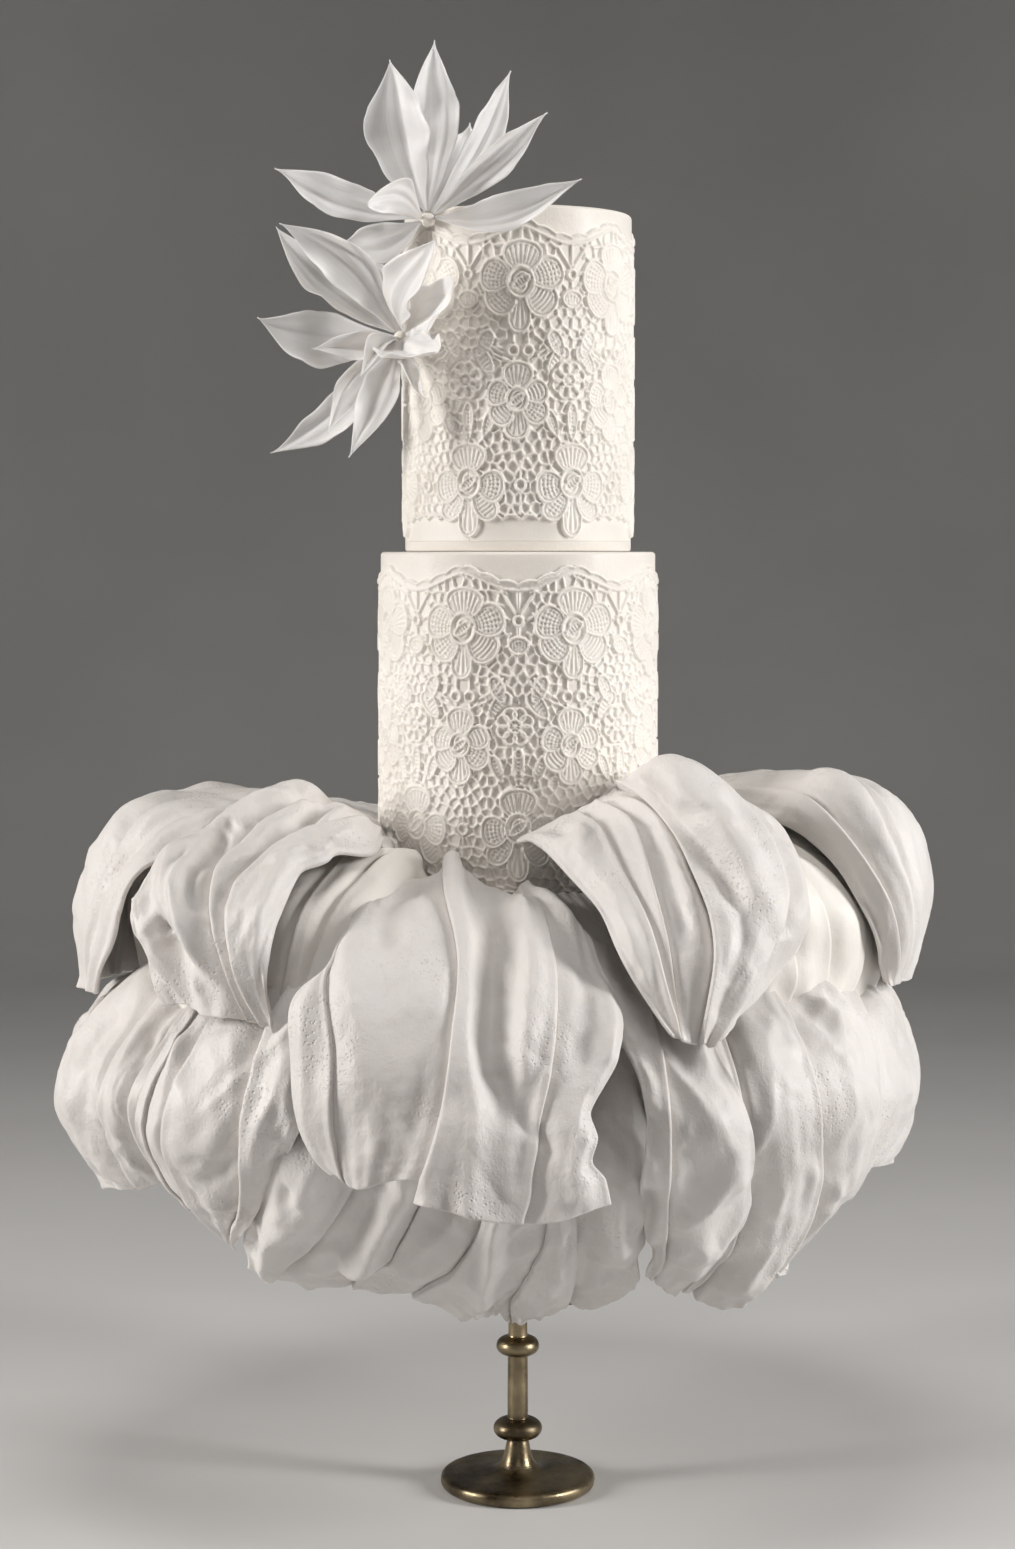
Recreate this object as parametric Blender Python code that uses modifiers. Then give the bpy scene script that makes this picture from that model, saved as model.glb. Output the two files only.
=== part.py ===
"""Tiered wedding cake with sugar-lace barrels, a two-row skirt of pleated sugar sheets,
two posies of long sheer petals and a turned brass stand. Metres, +Z up, front towards -Y."""

import math

import bpy
import numpy as np

MM = 0.001
GAP = 0.0003

# Turned brass stand
FOOT_RADIUS = 0.0468
FOOT_HEIGHT = 0.0088
STEM_RADIUS = 0.0060
LOWER_KNOP = (0.0148, 0.0355)
UPPER_KNOP = (0.0130, 0.0863)
PLATE_RADIUS = 0.058
PLATE_TOP = 0.1265
STAND_SIDES = 24

# Cake body: a hidden base cake and two barrels, all covered in white sugarpaste
BASE_CAKE_WIDEST = 0.155
LOWER_BARREL_RADIUS = 0.0810
LOWER_BARREL_BOTTOM = 0.365
LOWER_BARREL_TOP = 0.5636
UPPER_BARREL_RADIUS = 0.0665
UPPER_BARREL_TOP = 0.7590
BARREL_EDGE = 0.0022
BARREL_SIDES = 52

# Sugar lace: one moulded band round each barrel
LACE_THICKNESS = 0.0016
LACE_COLUMNS = 72
LACE_TOP_MARGIN = 0.0085
LACE_BOTTOM_MARGIN = 0.0075
TOP_SCALLOP_DEPTH = 0.0035
BOTTOM_SCALLOP_DEPTH = 0.0120
LOWER_SCALLOPS = 24
UPPER_SCALLOPS = 20
LOWER_FLOWERS = 8
UPPER_FLOWERS = 7

# Skirt: pleated sheets of rolled sugar paste
SHEET_THICKNESS = 0.0024
PLEAT_CROWN = 0.13
WALL_MM = 85.4
OVER_NECK = (83.6, 369.5)
UNDER_NECK = (100.0, 358.8)

# Posies: sheer petals on wires pushed into the upper barrel
PETAL_THICKNESS = 0.0010
PETAL_BASE_WIDTH = 0.0018
PETAL_TIP_WIDTH = 0.0018
BUD_RADIUS = 0.0056
PETAL_START = 0.0064


def material(name, colour, roughness, metallic=0.0):
    """A Principled material of one colour, roughness and metallic value."""
    made = bpy.data.materials.new(name)
    made.use_nodes = True
    shader = made.node_tree.nodes["Principled BSDF"]
    shader.inputs["Base Color"].default_value = (*colour, 1.0)
    shader.inputs["Roughness"].default_value = roughness
    shader.inputs["Metallic"].default_value = metallic
    made.diffuse_color = (*colour, 1.0)
    return made


def add_object(name, points, faces, collection, finish):
    """A mesh object from points and faces, in the given collection, with one material."""
    mesh = bpy.data.meshes.new(name)
    mesh.from_pydata([tuple(p) for p in points], [], faces)
    mesh.update()
    mesh.shade_smooth()
    mesh.materials.append(finish)
    made = bpy.data.objects.new(name, mesh)
    collection.objects.link(made)
    return made


def turned(name, profile, sides, collection, finish, bend_angle=35):
    """A turned solid: the profile, as (radius, height) from top to bottom, is screwed round Z."""
    points = [(radius, 0.0, height) for radius, height in profile]
    mesh = bpy.data.meshes.new(name)
    mesh.from_pydata(points, [(i, i + 1) for i in range(len(points) - 1)], [])
    mesh.materials.append(finish)
    made = bpy.data.objects.new(name, mesh)
    collection.objects.link(made)
    screw = made.modifiers.new("Turn", "SCREW")
    screw.axis = "Z"
    screw.steps = sides
    screw.render_steps = sides
    screw.use_merge_vertices = True
    screw.merge_threshold = 0.00001
    screw.use_smooth_shade = True
    mesh.set_sharp_from_angle(angle=math.radians(bend_angle))
    return made


def through(at, values, x):
    """A smooth curve that passes through values at the stations at, read at x (cubic Hermite)."""
    at = np.asarray(at, float)
    values = np.asarray(values, float)
    x = np.clip(np.asarray(x, float), at[0], at[-1])
    slopes = np.gradient(values, at, axis=0) if len(at) > 2 else np.repeat(
        np.diff(values, axis=0) / (at[1] - at[0]), 2, axis=0
    )
    left = np.clip(np.searchsorted(at, x, side="right") - 1, 0, len(at) - 2)
    span = at[left + 1] - at[left]
    u = ((x - at[left]) / span)[:, None]
    flat = values.reshape(len(at), -1)
    tilt = slopes.reshape(len(at), -1)
    here = (
        (2 * u**3 - 3 * u**2 + 1) * flat[left]
        + (u**3 - 2 * u**2 + u) * tilt[left] * span[:, None]
        + (3 * u**2 - 2 * u**3) * flat[left + 1]
        + (u**3 - u**2) * tilt[left + 1] * span[:, None]
    )
    return here.reshape((len(x),) + values.shape[1:])


def surface_normals(points):
    """Unit normals of a grid of points, on the side that faces away from the cake."""
    along = np.gradient(points, axis=0)
    across = np.gradient(points, axis=1)
    normal = np.cross(along, across)
    return normal / np.maximum(np.linalg.norm(normal, axis=2, keepdims=True), 1e-12)


def sheet_points(ribs, seams, rows, per_pleat):
    """A pleated sheet. Ribs are {share across: [(azimuth in degrees, radius, height in mm)]}, the
    lines of the sheet from the cake outwards. The ribs are joined smoothly across, and
    each pleat between two seams swells outwards by a share of its own width."""
    shares = sorted(ribs)
    across = np.concatenate(
        [np.linspace(a, b, per_pleat, endpoint=False) for a, b in zip(seams, seams[1:])]
        + [np.array([seams[-1]])]
    )
    knots = np.array([ribs[s] for s in shares], float)
    lines = through(shares, knots, across)
    stations = np.linspace(0, 1, knots.shape[1])
    along = np.linspace(0, 1, rows)
    grid = through(stations, np.swapaxes(lines, 0, 1), along)
    azimuth = np.radians(grid[..., 0])
    radius = grid[..., 1] * MM
    points = np.stack(
        [radius * np.sin(azimuth), -radius * np.cos(azimuth), grid[..., 2] * MM], axis=2
    )
    normals = surface_normals(points)
    pleat = np.clip(np.searchsorted(seams, across, side="right") - 1, 0, len(seams) - 2)
    start = np.asarray(seams, float)[pleat]
    end = np.asarray(seams, float)[pleat + 1]
    place = (across - start) / (end - start)
    width = np.linalg.norm(np.gradient(points, across, axis=1), axis=2) * (end - start)
    fade = np.sin(np.pi * np.clip(along, 0.02, 0.98)) ** 0.6
    crown = PLEAT_CROWN * np.minimum(width, 0.045) * np.sin(np.pi * place) * fade[:, None]
    return points + normals * crown[..., None]


def grid_faces(rows, columns):
    """Quads of a grid, wound so that they face along the surface normals above."""
    faces = []
    for i in range(rows - 1):
        for j in range(columns - 1):
            a = i * columns + j
            faces.append((a, a + columns, a + columns + 1, a + 1))
    return faces


def add_sheet(name, points, thickness, collection, finish):
    """A grid of points as a thin closed sheet: an open surface with Solidify."""
    rows, columns = points.shape[:2]
    made = add_object(
        name, points.reshape(-1, 3), grid_faces(rows, columns), collection, finish
    )
    shell = made.modifiers.new("Rolled thickness", "SOLIDIFY")
    shell.thickness = thickness
    shell.offset = 0.0
    return made


def turned_about(ribs, shift, spread=1.0, mirror=False):
    """The same ribs moved round the cake by shift degrees, or mirrored first."""
    moved = {}
    for share, knots in ribs.items():
        side = -1.0 if mirror else 1.0
        place = 1.0 - share if mirror else share
        moved[place] = [(side * a * spread + shift, r, z) for a, r, z in knots]
    return moved


def build_stand(collection, brass):
    """Foot, stem with two knops and a small plate, cast and turned as one piece."""

    def knop(ring, half_height, points=5):
        widest, height = ring
        swing = np.linspace(math.pi / 2, -math.pi / 2, points + 2)
        return [
            (STEM_RADIUS + (widest - STEM_RADIUS) * math.cos(a), height + half_height * math.sin(a))
            for a in swing
        ]

    profile = [
        (0.0, PLATE_TOP),
        (PLATE_RADIUS - 0.0008, PLATE_TOP),
        (PLATE_RADIUS, PLATE_TOP - 0.0010),
        (PLATE_RADIUS - 0.0010, PLATE_TOP - 0.0040),
        (0.020, PLATE_TOP - 0.0065),
        (0.0115, PLATE_TOP - 0.0115),
        (STEM_RADIUS * 0.95, PLATE_TOP - 0.0220),
        *knop(UPPER_KNOP, 0.0056),
        (STEM_RADIUS * 1.05, 0.0440),
        *knop(LOWER_KNOP, 0.0062),
        (0.0070, 0.0265),
        (0.0082, 0.0190),
        (0.0112, 0.0128),
        (0.0165, 0.0098),
        (FOOT_RADIUS - 0.0040, FOOT_HEIGHT),
        (FOOT_RADIUS - 0.0012, FOOT_HEIGHT - 0.0010),
        (FOOT_RADIUS, FOOT_HEIGHT - 0.0032),
        (FOOT_RADIUS - 0.0005, 0.0018),
        (FOOT_RADIUS - 0.0030, 0.0),
        (0.0, 0.0),
    ]
    turned("stand", profile, STAND_SIDES, collection, brass)


def build_base_cake(collection, paste):
    """The base cake inside the skirt, seen only through the gaps: a turned bowl shape that
    swells from the stand's plate and draws in again under the lower barrel."""
    low = PLATE_TOP + GAP
    high = LOWER_BARREL_BOTTOM - GAP
    shares = ((0.0, 0.0), (0.055, 0.36), (0.16, 0.62), (0.34, 0.86), (0.53, 0.98), (0.68, 1.0),
              (0.82, 0.92), (0.93, 0.74), (1.0, 0.53))
    profile = [(0.0, high)]
    for share, width in reversed(shares):
        radius = BASE_CAKE_WIDEST * width if width else PLATE_RADIUS - 0.001
        profile.append((radius, low + (high - low) * share))
    profile.append((0.0, low))
    turned("base_cake", profile, 36, collection, paste)


def build_barrel(name, radius, low, high, collection, paste):
    """A tall round cake under sugarpaste, with a small rounded top edge."""
    edge = [
        (
            radius - BARREL_EDGE + BARREL_EDGE * math.sin(a),
            high - BARREL_EDGE + BARREL_EDGE * math.cos(a),
        )
        for a in np.linspace(0, math.pi / 2, 4)
    ]
    profile = [(0.0, high), *edge, (radius, low + 0.0008), (radius - 0.0008, low), (0.0, low)]
    turned(name, profile, BARREL_SIDES, collection, paste)


def build_lace(name, radius, low, high, scallops, flowers, collection, lace):
    """A band of moulded sugar lace round a barrel: small scallops along the top, and whole
    flowers that hang lower than the net between them along the bottom."""
    turn = np.linspace(0, 2 * math.pi, LACE_COLUMNS, endpoint=False)
    top = high - LACE_TOP_MARGIN - TOP_SCALLOP_DEPTH * (1 - np.abs(np.sin(turn * scallops / 2)))
    drop = np.abs(np.cos(turn * flowers / 2)) ** 1.5
    bottom = low + LACE_BOTTOM_MARGIN + BOTTOM_SCALLOP_DEPTH * (1 - drop)
    middle = radius + GAP + 0.0002 + LACE_THICKNESS / 2
    rings = []
    for height in (top, bottom):
        rings.append(np.stack([middle * np.sin(turn), -middle * np.cos(turn), height], axis=1))
    points = np.concatenate(rings)
    n = LACE_COLUMNS
    faces = [(j, n + j, n + (j + 1) % n, (j + 1) % n) for j in range(n)]
    made = add_object(name, points, faces, collection, lace)
    shell = made.modifiers.new("Lace thickness", "SOLIDIFY")
    shell.thickness = LACE_THICKNESS
    shell.offset = 0.0


# Each sheet's ribs: azimuth in degrees from the front (+ to the right), radius and height
# in mm, from the cake wall over the crown to the free or gathered end.
UPPER_SHEETS = {
    "cape_front": {
        "seams": [0.0, 0.18, 0.50, 0.72, 1.0],
        "ribs": {
            0.0: [(-45, WALL_MM, 382), (-40, 122, 372), (-30, 200, 348), (-31, 235, 320), (-27, 244, 266), (-21, 249, 230)],
            0.18: [(-38, WALL_MM, 386), (-33, 122, 379), (-27, 203, 351), (-24, 237, 315), (-22.5, 247, 268), (-19, 250, 226)],
            0.50: [(-28, WALL_MM, 392), (-20, 122, 384), (-10, 192, 353), (-8, 234, 310), (-9, 246, 266), (-12, 250, 226)],
            0.72: [(-4, WALL_MM, 388), (2, 122, 378), (5, 192, 347), (5, 231, 307), (3, 244, 264), (1, 250, 219)],
            1.0: [(8, WALL_MM, 382), (12, 128, 368), (15, 188, 337), (14, 224, 309), (10, 240, 268), (11, 249, 226)],
        },
    },
    "puff_right_front": {
        "seams": [0.0, 0.17, 0.28, 0.45, 0.80, 1.0],
        "ribs": {
            0.0: [(-1, WALL_MM, 400), (8, 120, 396), (12, 157, 381), (15, 200, 353), (19, 231, 311)],
            0.45: [(32, WALL_MM, 422), (31, 145, 418), (29, 192, 392), (28, 224, 355), (24.5, 233, 306)],
            0.80: [(52, WALL_MM, 428), (38, 147, 443), (40.5, 192, 417), (39, 222, 372), (27, 233, 307)],
            1.0: [(74, WALL_MM, 414), (55, 150, 422), (52, 188, 404), (49, 208, 372), (34, 226, 324)],
        },
    },
    "puff_right_back": {
        "seams": [0.0, 0.16, 0.38, 0.60, 0.80, 1.0],
        "ribs": {
            0.0: [(79, WALL_MM, 402), (68, 148, 412), (61, 194, 394), (60, 224, 356), (66, 226, 320)],
            0.16: [(84, WALL_MM, 407), (71, 150, 422), (61, 202, 412), (62, 232, 366), (67, 227, 319)],
            0.38: [(92, WALL_MM, 411), (78, 152, 428), (67, 214, 421), (68, 239, 372), (72, 228, 319)],
            0.60: [(101, WALL_MM, 413), (92, 154, 429), (84, 217, 417), (84, 240, 372), (84, 229, 317)],
            0.80: [(112, WALL_MM, 410), (109, 152, 424), (107, 206, 409), (107, 231, 366), (103, 224, 323)],
            1.0: [(124, WALL_MM, 402), (130, 146, 414), (134, 194, 397), (134, 211, 364), (129, 209, 338)],
        },
    },
    "puff_left_front": {
        "seams": [0.0, 0.10, 0.34, 0.62, 0.83, 1.0],
        "ribs": {
            0.0: [(-88, WALL_MM, 406), (-68, 145, 422), (-60, 218, 399), (-59, 250, 361), (-54, 236, 316)],
            0.34: [(-74, WALL_MM, 410), (-60.5, 150, 431), (-57, 211, 406), (-55, 245, 368), (-49, 233, 316)],
            0.62: [(-62, WALL_MM, 406), (-52, 150, 423), (-47, 203, 397), (-44, 234, 360), (-43, 231, 313)],
            0.83: [(-54, WALL_MM, 396), (-43, 138, 416), (-40.5, 189, 398), (-38, 224, 356), (-38.5, 228, 309)],
            1.0: [(-47, WALL_MM, 384), (-39, 126, 403), (-35, 189, 382), (-34, 223, 344), (-35, 227, 303)],
        },
    },
    "puff_left_back": {
        "seams": [0.0, 0.22, 0.46, 0.70, 0.88, 1.0],
        "ribs": {
            0.0: [(-120, WALL_MM, 394), (-123, 146, 403), (-122, 206, 396), (-119, 236, 360), (-112, 240, 308)],
            0.5: [(-107, WALL_MM, 400), (-98, 155, 416), (-91, 222, 410), (-90, 250, 366), (-91, 253, 303)],
            1.0: [(-95, WALL_MM, 398), (-77, 150, 411), (-70, 202, 398), (-73, 236, 362), (-79, 252, 306)],
        },
    },
}

# A puff for the back of the skirt, centred on azimuth 0 until it is turned into place.
BACK_PUFF = {
    "seams": [0.0, 0.22, 0.45, 0.72, 1.0],
    "ribs": {
        0.0: [(-15, WALL_MM, 386), (-15.5, 146, 393), (-15.5, 204, 382), (-15.5, 232, 352), (-12, 226, 312)],
        0.55: [(1, WALL_MM, 390), (1, 152, 401), (0, 212, 392), (0, 244, 356), (0, 228, 312)],
        1.0: [(15, WALL_MM, 385), (15.5, 146, 391), (15.5, 202, 379), (15.5, 230, 348), (12, 226, 310)],
    },
}
BACK_PUFF_PLACES = {"puff_back_right": 153.5, "puff_back": 187.0, "puff_back_left": 220.5}

# Lower row, in two layers: the over sheets start against the lower barrel, the under ones
# rest on the base cake's shoulder. Ribs run neck, shoulder, waist, belly, lower belly, hem.
LOWER_SHEETS = {
    "swag_left_back": {
        "seams": [0.0, 0.20, 0.42, 0.64, 0.82, 1.0],
        "ribs": {
            0.0: [(-119, *UNDER_NECK), (-118, 160, 336), (-115, 222, 304), (-116, 250, 262), (-114, 240, 222), (-112, 228, 204)],
            0.45: [(-93, *UNDER_NECK), (-90, 160, 338), (-87, 230, 306), (-88, 266, 256), (-88, 253, 216), (-88, 244, 202)],
            0.82: [(-70, *UNDER_NECK), (-68, 160, 337), (-66, 220, 307), (-65, 259, 260), (-69, 247, 222), (-70, 239, 205)],
            1.0: [(-55, *UNDER_NECK), (-55, 158, 336), (-54, 202, 306), (-54, 237, 262), (-57, 226, 228), (-60, 216, 209)],
        },
    },
    "swag_left": {
        "seams": [0.0, 0.12, 0.38, 0.72, 1.0],
        "ribs": {
            0.0: [(-58, *OVER_NECK), (-56, 160, 344), (-53, 212, 318), (-55, 256, 269), (-59, 242, 222), (-58, 208, 187)],
            0.38: [(-46, *OVER_NECK), (-46, 160, 344), (-45, 210, 317), (-46.5, 250, 261), (-50, 233, 216), (-52, 202, 183)],
            0.72: [(-35, *OVER_NECK), (-35, 160, 343), (-35, 208, 313), (-36, 239, 258), (-41, 221, 214), (-48, 199, 187)],
            1.0: [(-24, *OVER_NECK), (-25, 158, 341), (-27, 204, 307), (-29, 228, 259), (-36, 213, 220), (-46, 198, 192)],
        },
    },
    "swag_front_low": {
        "seams": [0.0, 0.14, 0.29, 0.45, 0.60, 0.72, 0.84, 1.0],
        "ribs": {
            0.0: [(-33, *UNDER_NECK), (-33, 156, 333), (-33, 192, 298), (-34, 206, 252), (-42, 192, 208), (-51, 180, 176)],
            0.22: [(-19, *UNDER_NECK), (-19, 154, 333), (-19, 190, 294), (-20, 205, 246), (-30, 178, 190), (-38, 146, 158)],
            0.45: [(-6, *UNDER_NECK), (-6, 153, 332), (-6, 188, 291), (-6, 201, 240), (-12, 160, 180), (-19, 98, 136)],
            0.68: [(5, *UNDER_NECK), (5, 152, 332), (5, 187, 289), (4.5, 198, 236), (3.5, 160, 179), (-4, 46, 115)],
            1.0: [(24, *UNDER_NECK), (24, 152, 332), (23, 187, 289), (22, 195, 236), (26, 154, 178), (38, 110, 142)],
        },
    },
    "swag_right_front": {
        "seams": [0.0, 0.24, 1.0],
        "ribs": {
            0.0: [(11, *OVER_NECK), (12, 158, 343), (14, 203, 312), (16, 231, 268), (18, 207, 216), (31, 138, 158)],
            0.28: [(17, *OVER_NECK), (17, 158, 343), (18, 204, 313), (18, 236, 266), (22, 204, 207), (32, 142, 155)],
            1.0: [(33, *OVER_NECK), (32, 158, 343), (30, 206, 313), (31, 239, 260), (38, 194, 192), (39, 140, 146)],
        },
    },
    "swag_right": {
        "seams": [0.0, 0.16, 0.33, 0.55, 0.75, 0.88, 1.0],
        "ribs": {
            0.0: [(27, *UNDER_NECK), (27, 154, 334), (26, 196, 303), (27.5, 221, 258), (36, 184, 196), (42, 132, 149)],
            0.33: [(42, *UNDER_NECK), (42, 158, 337), (40, 204, 312), (41, 235, 264), (50, 203, 192), (52, 166, 147)],
            0.55: [(58, *UNDER_NECK), (58, 160, 338), (56, 209, 313), (54, 236, 266), (58, 222, 216), (54, 209, 199)],
            0.75: [(76, *UNDER_NECK), (74, 160, 338), (70, 209, 313), (70, 232, 266), (68, 228, 236), (62, 218, 216)],
            1.0: [(104, *UNDER_NECK), (104, 160, 338), (104, 208, 310), (104, 229, 266), (103, 222, 234), (99, 210, 216)],
        },
    },
}

# A swag for the back of the lower row, centred on azimuth 0 until it is turned into place.
BACK_SWAG = {
    "seams": [0.0, 0.24, 0.5, 0.76, 1.0],
    "ribs": {
        0.0: [(-21, *OVER_NECK), (-21, 160, 343), (-21, 209, 316), (-23, 240, 262), (-22, 224, 210), (-17, 176, 166)],
        0.5: [(0, *OVER_NECK), (0, 160, 344), (0, 212, 318), (0, 250, 260), (0, 232, 206), (0, 166, 152)],
        1.0: [(21, *OVER_NECK), (21, 160, 343), (21, 209, 316), (23, 240, 262), (22, 224, 210), (17, 176, 166)],
    },
}
BACK_SWAG_PLACES = {"swag_back_right": 126.0, "swag_back": 173.0, "swag_back_left": 220.0}


def build_skirt(collection, paste):
    """Every sheet of the skirt, upper and lower row, with the back ones made from a pattern."""
    rows = 9
    for name, plan in {**UPPER_SHEETS, **LOWER_SHEETS}.items():
        points = sheet_points(plan["ribs"], plan["seams"], rows, 2)
        add_sheet(name, points, SHEET_THICKNESS, collection, paste)
    for pattern, places in ((BACK_PUFF, BACK_PUFF_PLACES), (BACK_SWAG, BACK_SWAG_PLACES)):
        for name, shift in places.items():
            ribs = turned_about(pattern["ribs"], shift)
            points = sheet_points(ribs, pattern["seams"], rows, 2)
            add_sheet(name, points, SHEET_THICKNESS, collection, paste)


# Posies: the middle of each, where its wires enter the barrel (mm).
POSY_CENTRES = {"top": (-51.4, -53.6, 751.6), "side": (-67.4, -31.4, 687.0)}
# Petals: tip position in mm, width in mm, turn of the face in degrees, cup (share of half
# width), sideways bow and outward arch of its line (shares of the length).
PETALS = {
    "top": [
        ("a", (-69.4, -56.0, 841.4), 38, 14, 0.30, -0.07, 0.05),
        ("b", (-51.4, -16.0, 858.3), 28, -6, 0.16, 0.03, 0.01),
        ("c", (-7.6, -30.0, 840.2), 20, -24, 0.30, 0.09, 0.05),
        ("d", (14.4, -66.0, 812.0), 18, -30, 0.30, 0.06, 0.10),
        ("e", (34.7, -88.0, 772.0), 21, -14, 0.22, 0.12, 0.10),
        ("f", (-137.5, -45.0, 785.1), 22, 12, 0.26, -0.08, 0.04),
        ("g", (-25.3, 5.0, 813.7), 18, 10, 0.20, 0.02, 0.05),
        ("h", (-99.5, -25.0, 741.5), 21, 20, 0.30, -0.10, -0.04),
        ("i", (-88.1, -82.0, 757.0), 20, 24, 0.42, 0.16, 0.12),
    ],
    "side": [
        ("a", (-134.0, -52.0, 751.8), 26, 10, 0.24, 0.07, 0.08),
        ("b", (-142.6, -20.0, 748.9), 25, -14, 0.36, -0.04, 0.03),
        ("c", (-151.2, -29.0, 695.8), 34, 6, 0.14, -0.07, -0.065),
        ("d", (-117.0, -74.0, 679.3), 17, 20, 0.30, -0.07, 0.08),
        ("e", (-141.2, -30.0, 618.1), 25, -6, 0.20, -0.06, -0.06),
        ("f", (-110.4, -55.0, 632.0), 16, 12, 0.30, 0.055, 0.035),
        ("g", (-93.2, -72.0, 615.9), 22, 12, 0.22, -0.02, 0.125),
        ("h", (-40.9, -92.0, 736.7), 21, 16, 0.20, -0.085, 0.17),
        ("i", (-25.9, -90.0, 710.2), 23, 19, 0.20, 0.045, -0.02),
        ("j", (-34.3, -104.0, 667.6), 24, 24, 0.22, 0.12, 0.09),
        ("k", (-90.3, -6.0, 740.6), 14, 10, 0.26, 0.06, -0.08),
        ("l", (-54.5, -78.0, 648.8), 10, 12, 0.30, 0.02, 0.06),
        ("m", (-87.3, -83.0, 660.7), 12, 16, 0.36, 0.06, 0.16),
    ],
}


def petal_points(centre, tip, width, turn, cup, bow, arch, rows, columns):
    """A long leaf-shaped petal. Its line bows sideways and arches outwards from the posy's
    middle to the tip, its width follows a lens curve, and its face is cupped and turned."""
    centre, tip = np.array(centre) * MM, np.array(tip) * MM
    length = np.linalg.norm(tip - centre)
    axis = (tip - centre) / length
    outward = np.array([-0.10, -0.98, 0.17])
    face = outward - axis * (outward @ axis)
    face /= np.linalg.norm(face)
    side = np.cross(axis, face)
    plane_side, plane_face = side, face
    t = math.radians(turn)
    side, face = side * math.cos(t) + face * math.sin(t), face * math.cos(t) - side * math.sin(t)
    start = PETAL_START / length
    s = np.linspace(start, 1, rows)[:, None]
    u = (s - start) / (1 - start)
    v = np.linspace(-1, 1, columns)[None, :]
    lens = np.sin(np.pi * u**0.9) ** 0.95
    full = PETAL_BASE_WIDTH * (1 - u) + (width * MM) * np.clip(lens, 0, 1)
    half = np.maximum(full, PETAL_TIP_WIDTH) / 2
    line = centre + axis * (length * s)[..., None]
    line = line + plane_side * (bow * length * np.sin(np.pi * u))[..., None]
    line = line + plane_face * (arch * length * np.sin(np.pi * u))[..., None]
    lift = cup * half * (np.abs(v) ** 1.5 - 0.35)
    return line + side * (half * v)[..., None] + face * lift[..., None]


def build_posies(collection, sheer):
    """Two posies: a bud on a short wired stem against the barrel, and its petals."""
    for posy, centre in POSY_CENTRES.items():
        bpy.ops.mesh.primitive_uv_sphere_add(
            segments=14, ring_count=8, radius=BUD_RADIUS, location=[c * MM for c in centre]
        )
        bud = bpy.context.object
        bud.name = f"bud_{posy}"
        bud.data.materials.append(sheer)
        for other in list(bud.users_collection):
            other.objects.unlink(bud)
        collection.objects.link(bud)
        for label, *shape in PETALS[posy]:
            points = petal_points(centre, *shape, rows=8, columns=5)
            add_sheet(f"petal_{posy}_{label}", points, PETAL_THICKNESS, collection, sheer)


def main():
    for existing in list(bpy.data.objects):
        bpy.data.objects.remove(existing, do_unlink=True)
    cake = bpy.data.collections.new("Tiered wedding cake")
    bpy.context.scene.collection.children.link(cake)

    brass = material("Aged brass", (0.30, 0.24, 0.15), 0.34, 1.0)
    paste = material("White sugarpaste", (0.88, 0.86, 0.83), 0.55)
    lace = material("Ivory sugar lace", (0.88, 0.84, 0.77), 0.60)
    sheer = material("Sheer sugar petal", (0.86, 0.84, 0.82), 0.45)

    build_stand(cake, brass)
    build_base_cake(cake, paste)
    build_barrel(
        "barrel_lower", LOWER_BARREL_RADIUS, LOWER_BARREL_BOTTOM, LOWER_BARREL_TOP, cake, paste
    )
    build_barrel(
        "barrel_upper", UPPER_BARREL_RADIUS, LOWER_BARREL_TOP + GAP, UPPER_BARREL_TOP, cake, paste
    )
    build_lace(
        "lace_lower", LOWER_BARREL_RADIUS, LOWER_BARREL_BOTTOM, LOWER_BARREL_TOP,
        LOWER_SCALLOPS, LOWER_FLOWERS, cake, lace,
    )
    build_lace(
        "lace_upper", UPPER_BARREL_RADIUS, LOWER_BARREL_TOP, UPPER_BARREL_TOP,
        UPPER_SCALLOPS, UPPER_FLOWERS, cake, lace,
    )
    build_skirt(cake, paste)
    build_posies(cake, sheer)


main()
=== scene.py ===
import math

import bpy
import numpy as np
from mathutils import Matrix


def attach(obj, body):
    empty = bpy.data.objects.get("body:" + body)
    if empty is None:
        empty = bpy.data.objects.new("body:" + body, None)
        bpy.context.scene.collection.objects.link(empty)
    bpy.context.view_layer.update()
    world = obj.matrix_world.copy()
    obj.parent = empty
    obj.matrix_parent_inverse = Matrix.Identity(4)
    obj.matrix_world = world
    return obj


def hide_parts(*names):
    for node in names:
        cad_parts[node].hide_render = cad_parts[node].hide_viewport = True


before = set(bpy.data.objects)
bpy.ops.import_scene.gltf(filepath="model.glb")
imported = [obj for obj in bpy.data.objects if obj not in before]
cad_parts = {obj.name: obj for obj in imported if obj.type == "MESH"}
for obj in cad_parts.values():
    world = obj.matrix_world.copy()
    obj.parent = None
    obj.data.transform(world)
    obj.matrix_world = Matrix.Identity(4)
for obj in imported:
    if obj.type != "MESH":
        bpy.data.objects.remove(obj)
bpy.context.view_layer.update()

# A tiered wedding cake as a cake maker puts it together: a brass stand, a base cake, two
# tall barrels with moulded sugar lace, a skirt of rolled sugarpaste sheets in two rows, and
# two posies of long sheer petals. Metres, +Z up, front towards -Y.

# Stand

# A foot, a stem with two knops and a small plate, cast in brass, turned on a lathe in one
# piece and left to tarnish. It stands on its foot, and the base cake sits on its plate.
FOOT_RADIUS = 0.0468
FOOT_HEIGHT = 0.0088
STEM_RADIUS = 0.0060
LOWER_KNOP = (0.0148, 0.0355)
UPPER_KNOP = (0.0130, 0.0863)
PLATE_RADIUS = 0.058
PLATE_TOP = 0.1265
STAND_SIDES = 120
BRASS_BRIGHT = (0.38, 0.31, 0.195)
BRASS_DARK = (0.095, 0.075, 0.048)


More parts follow.
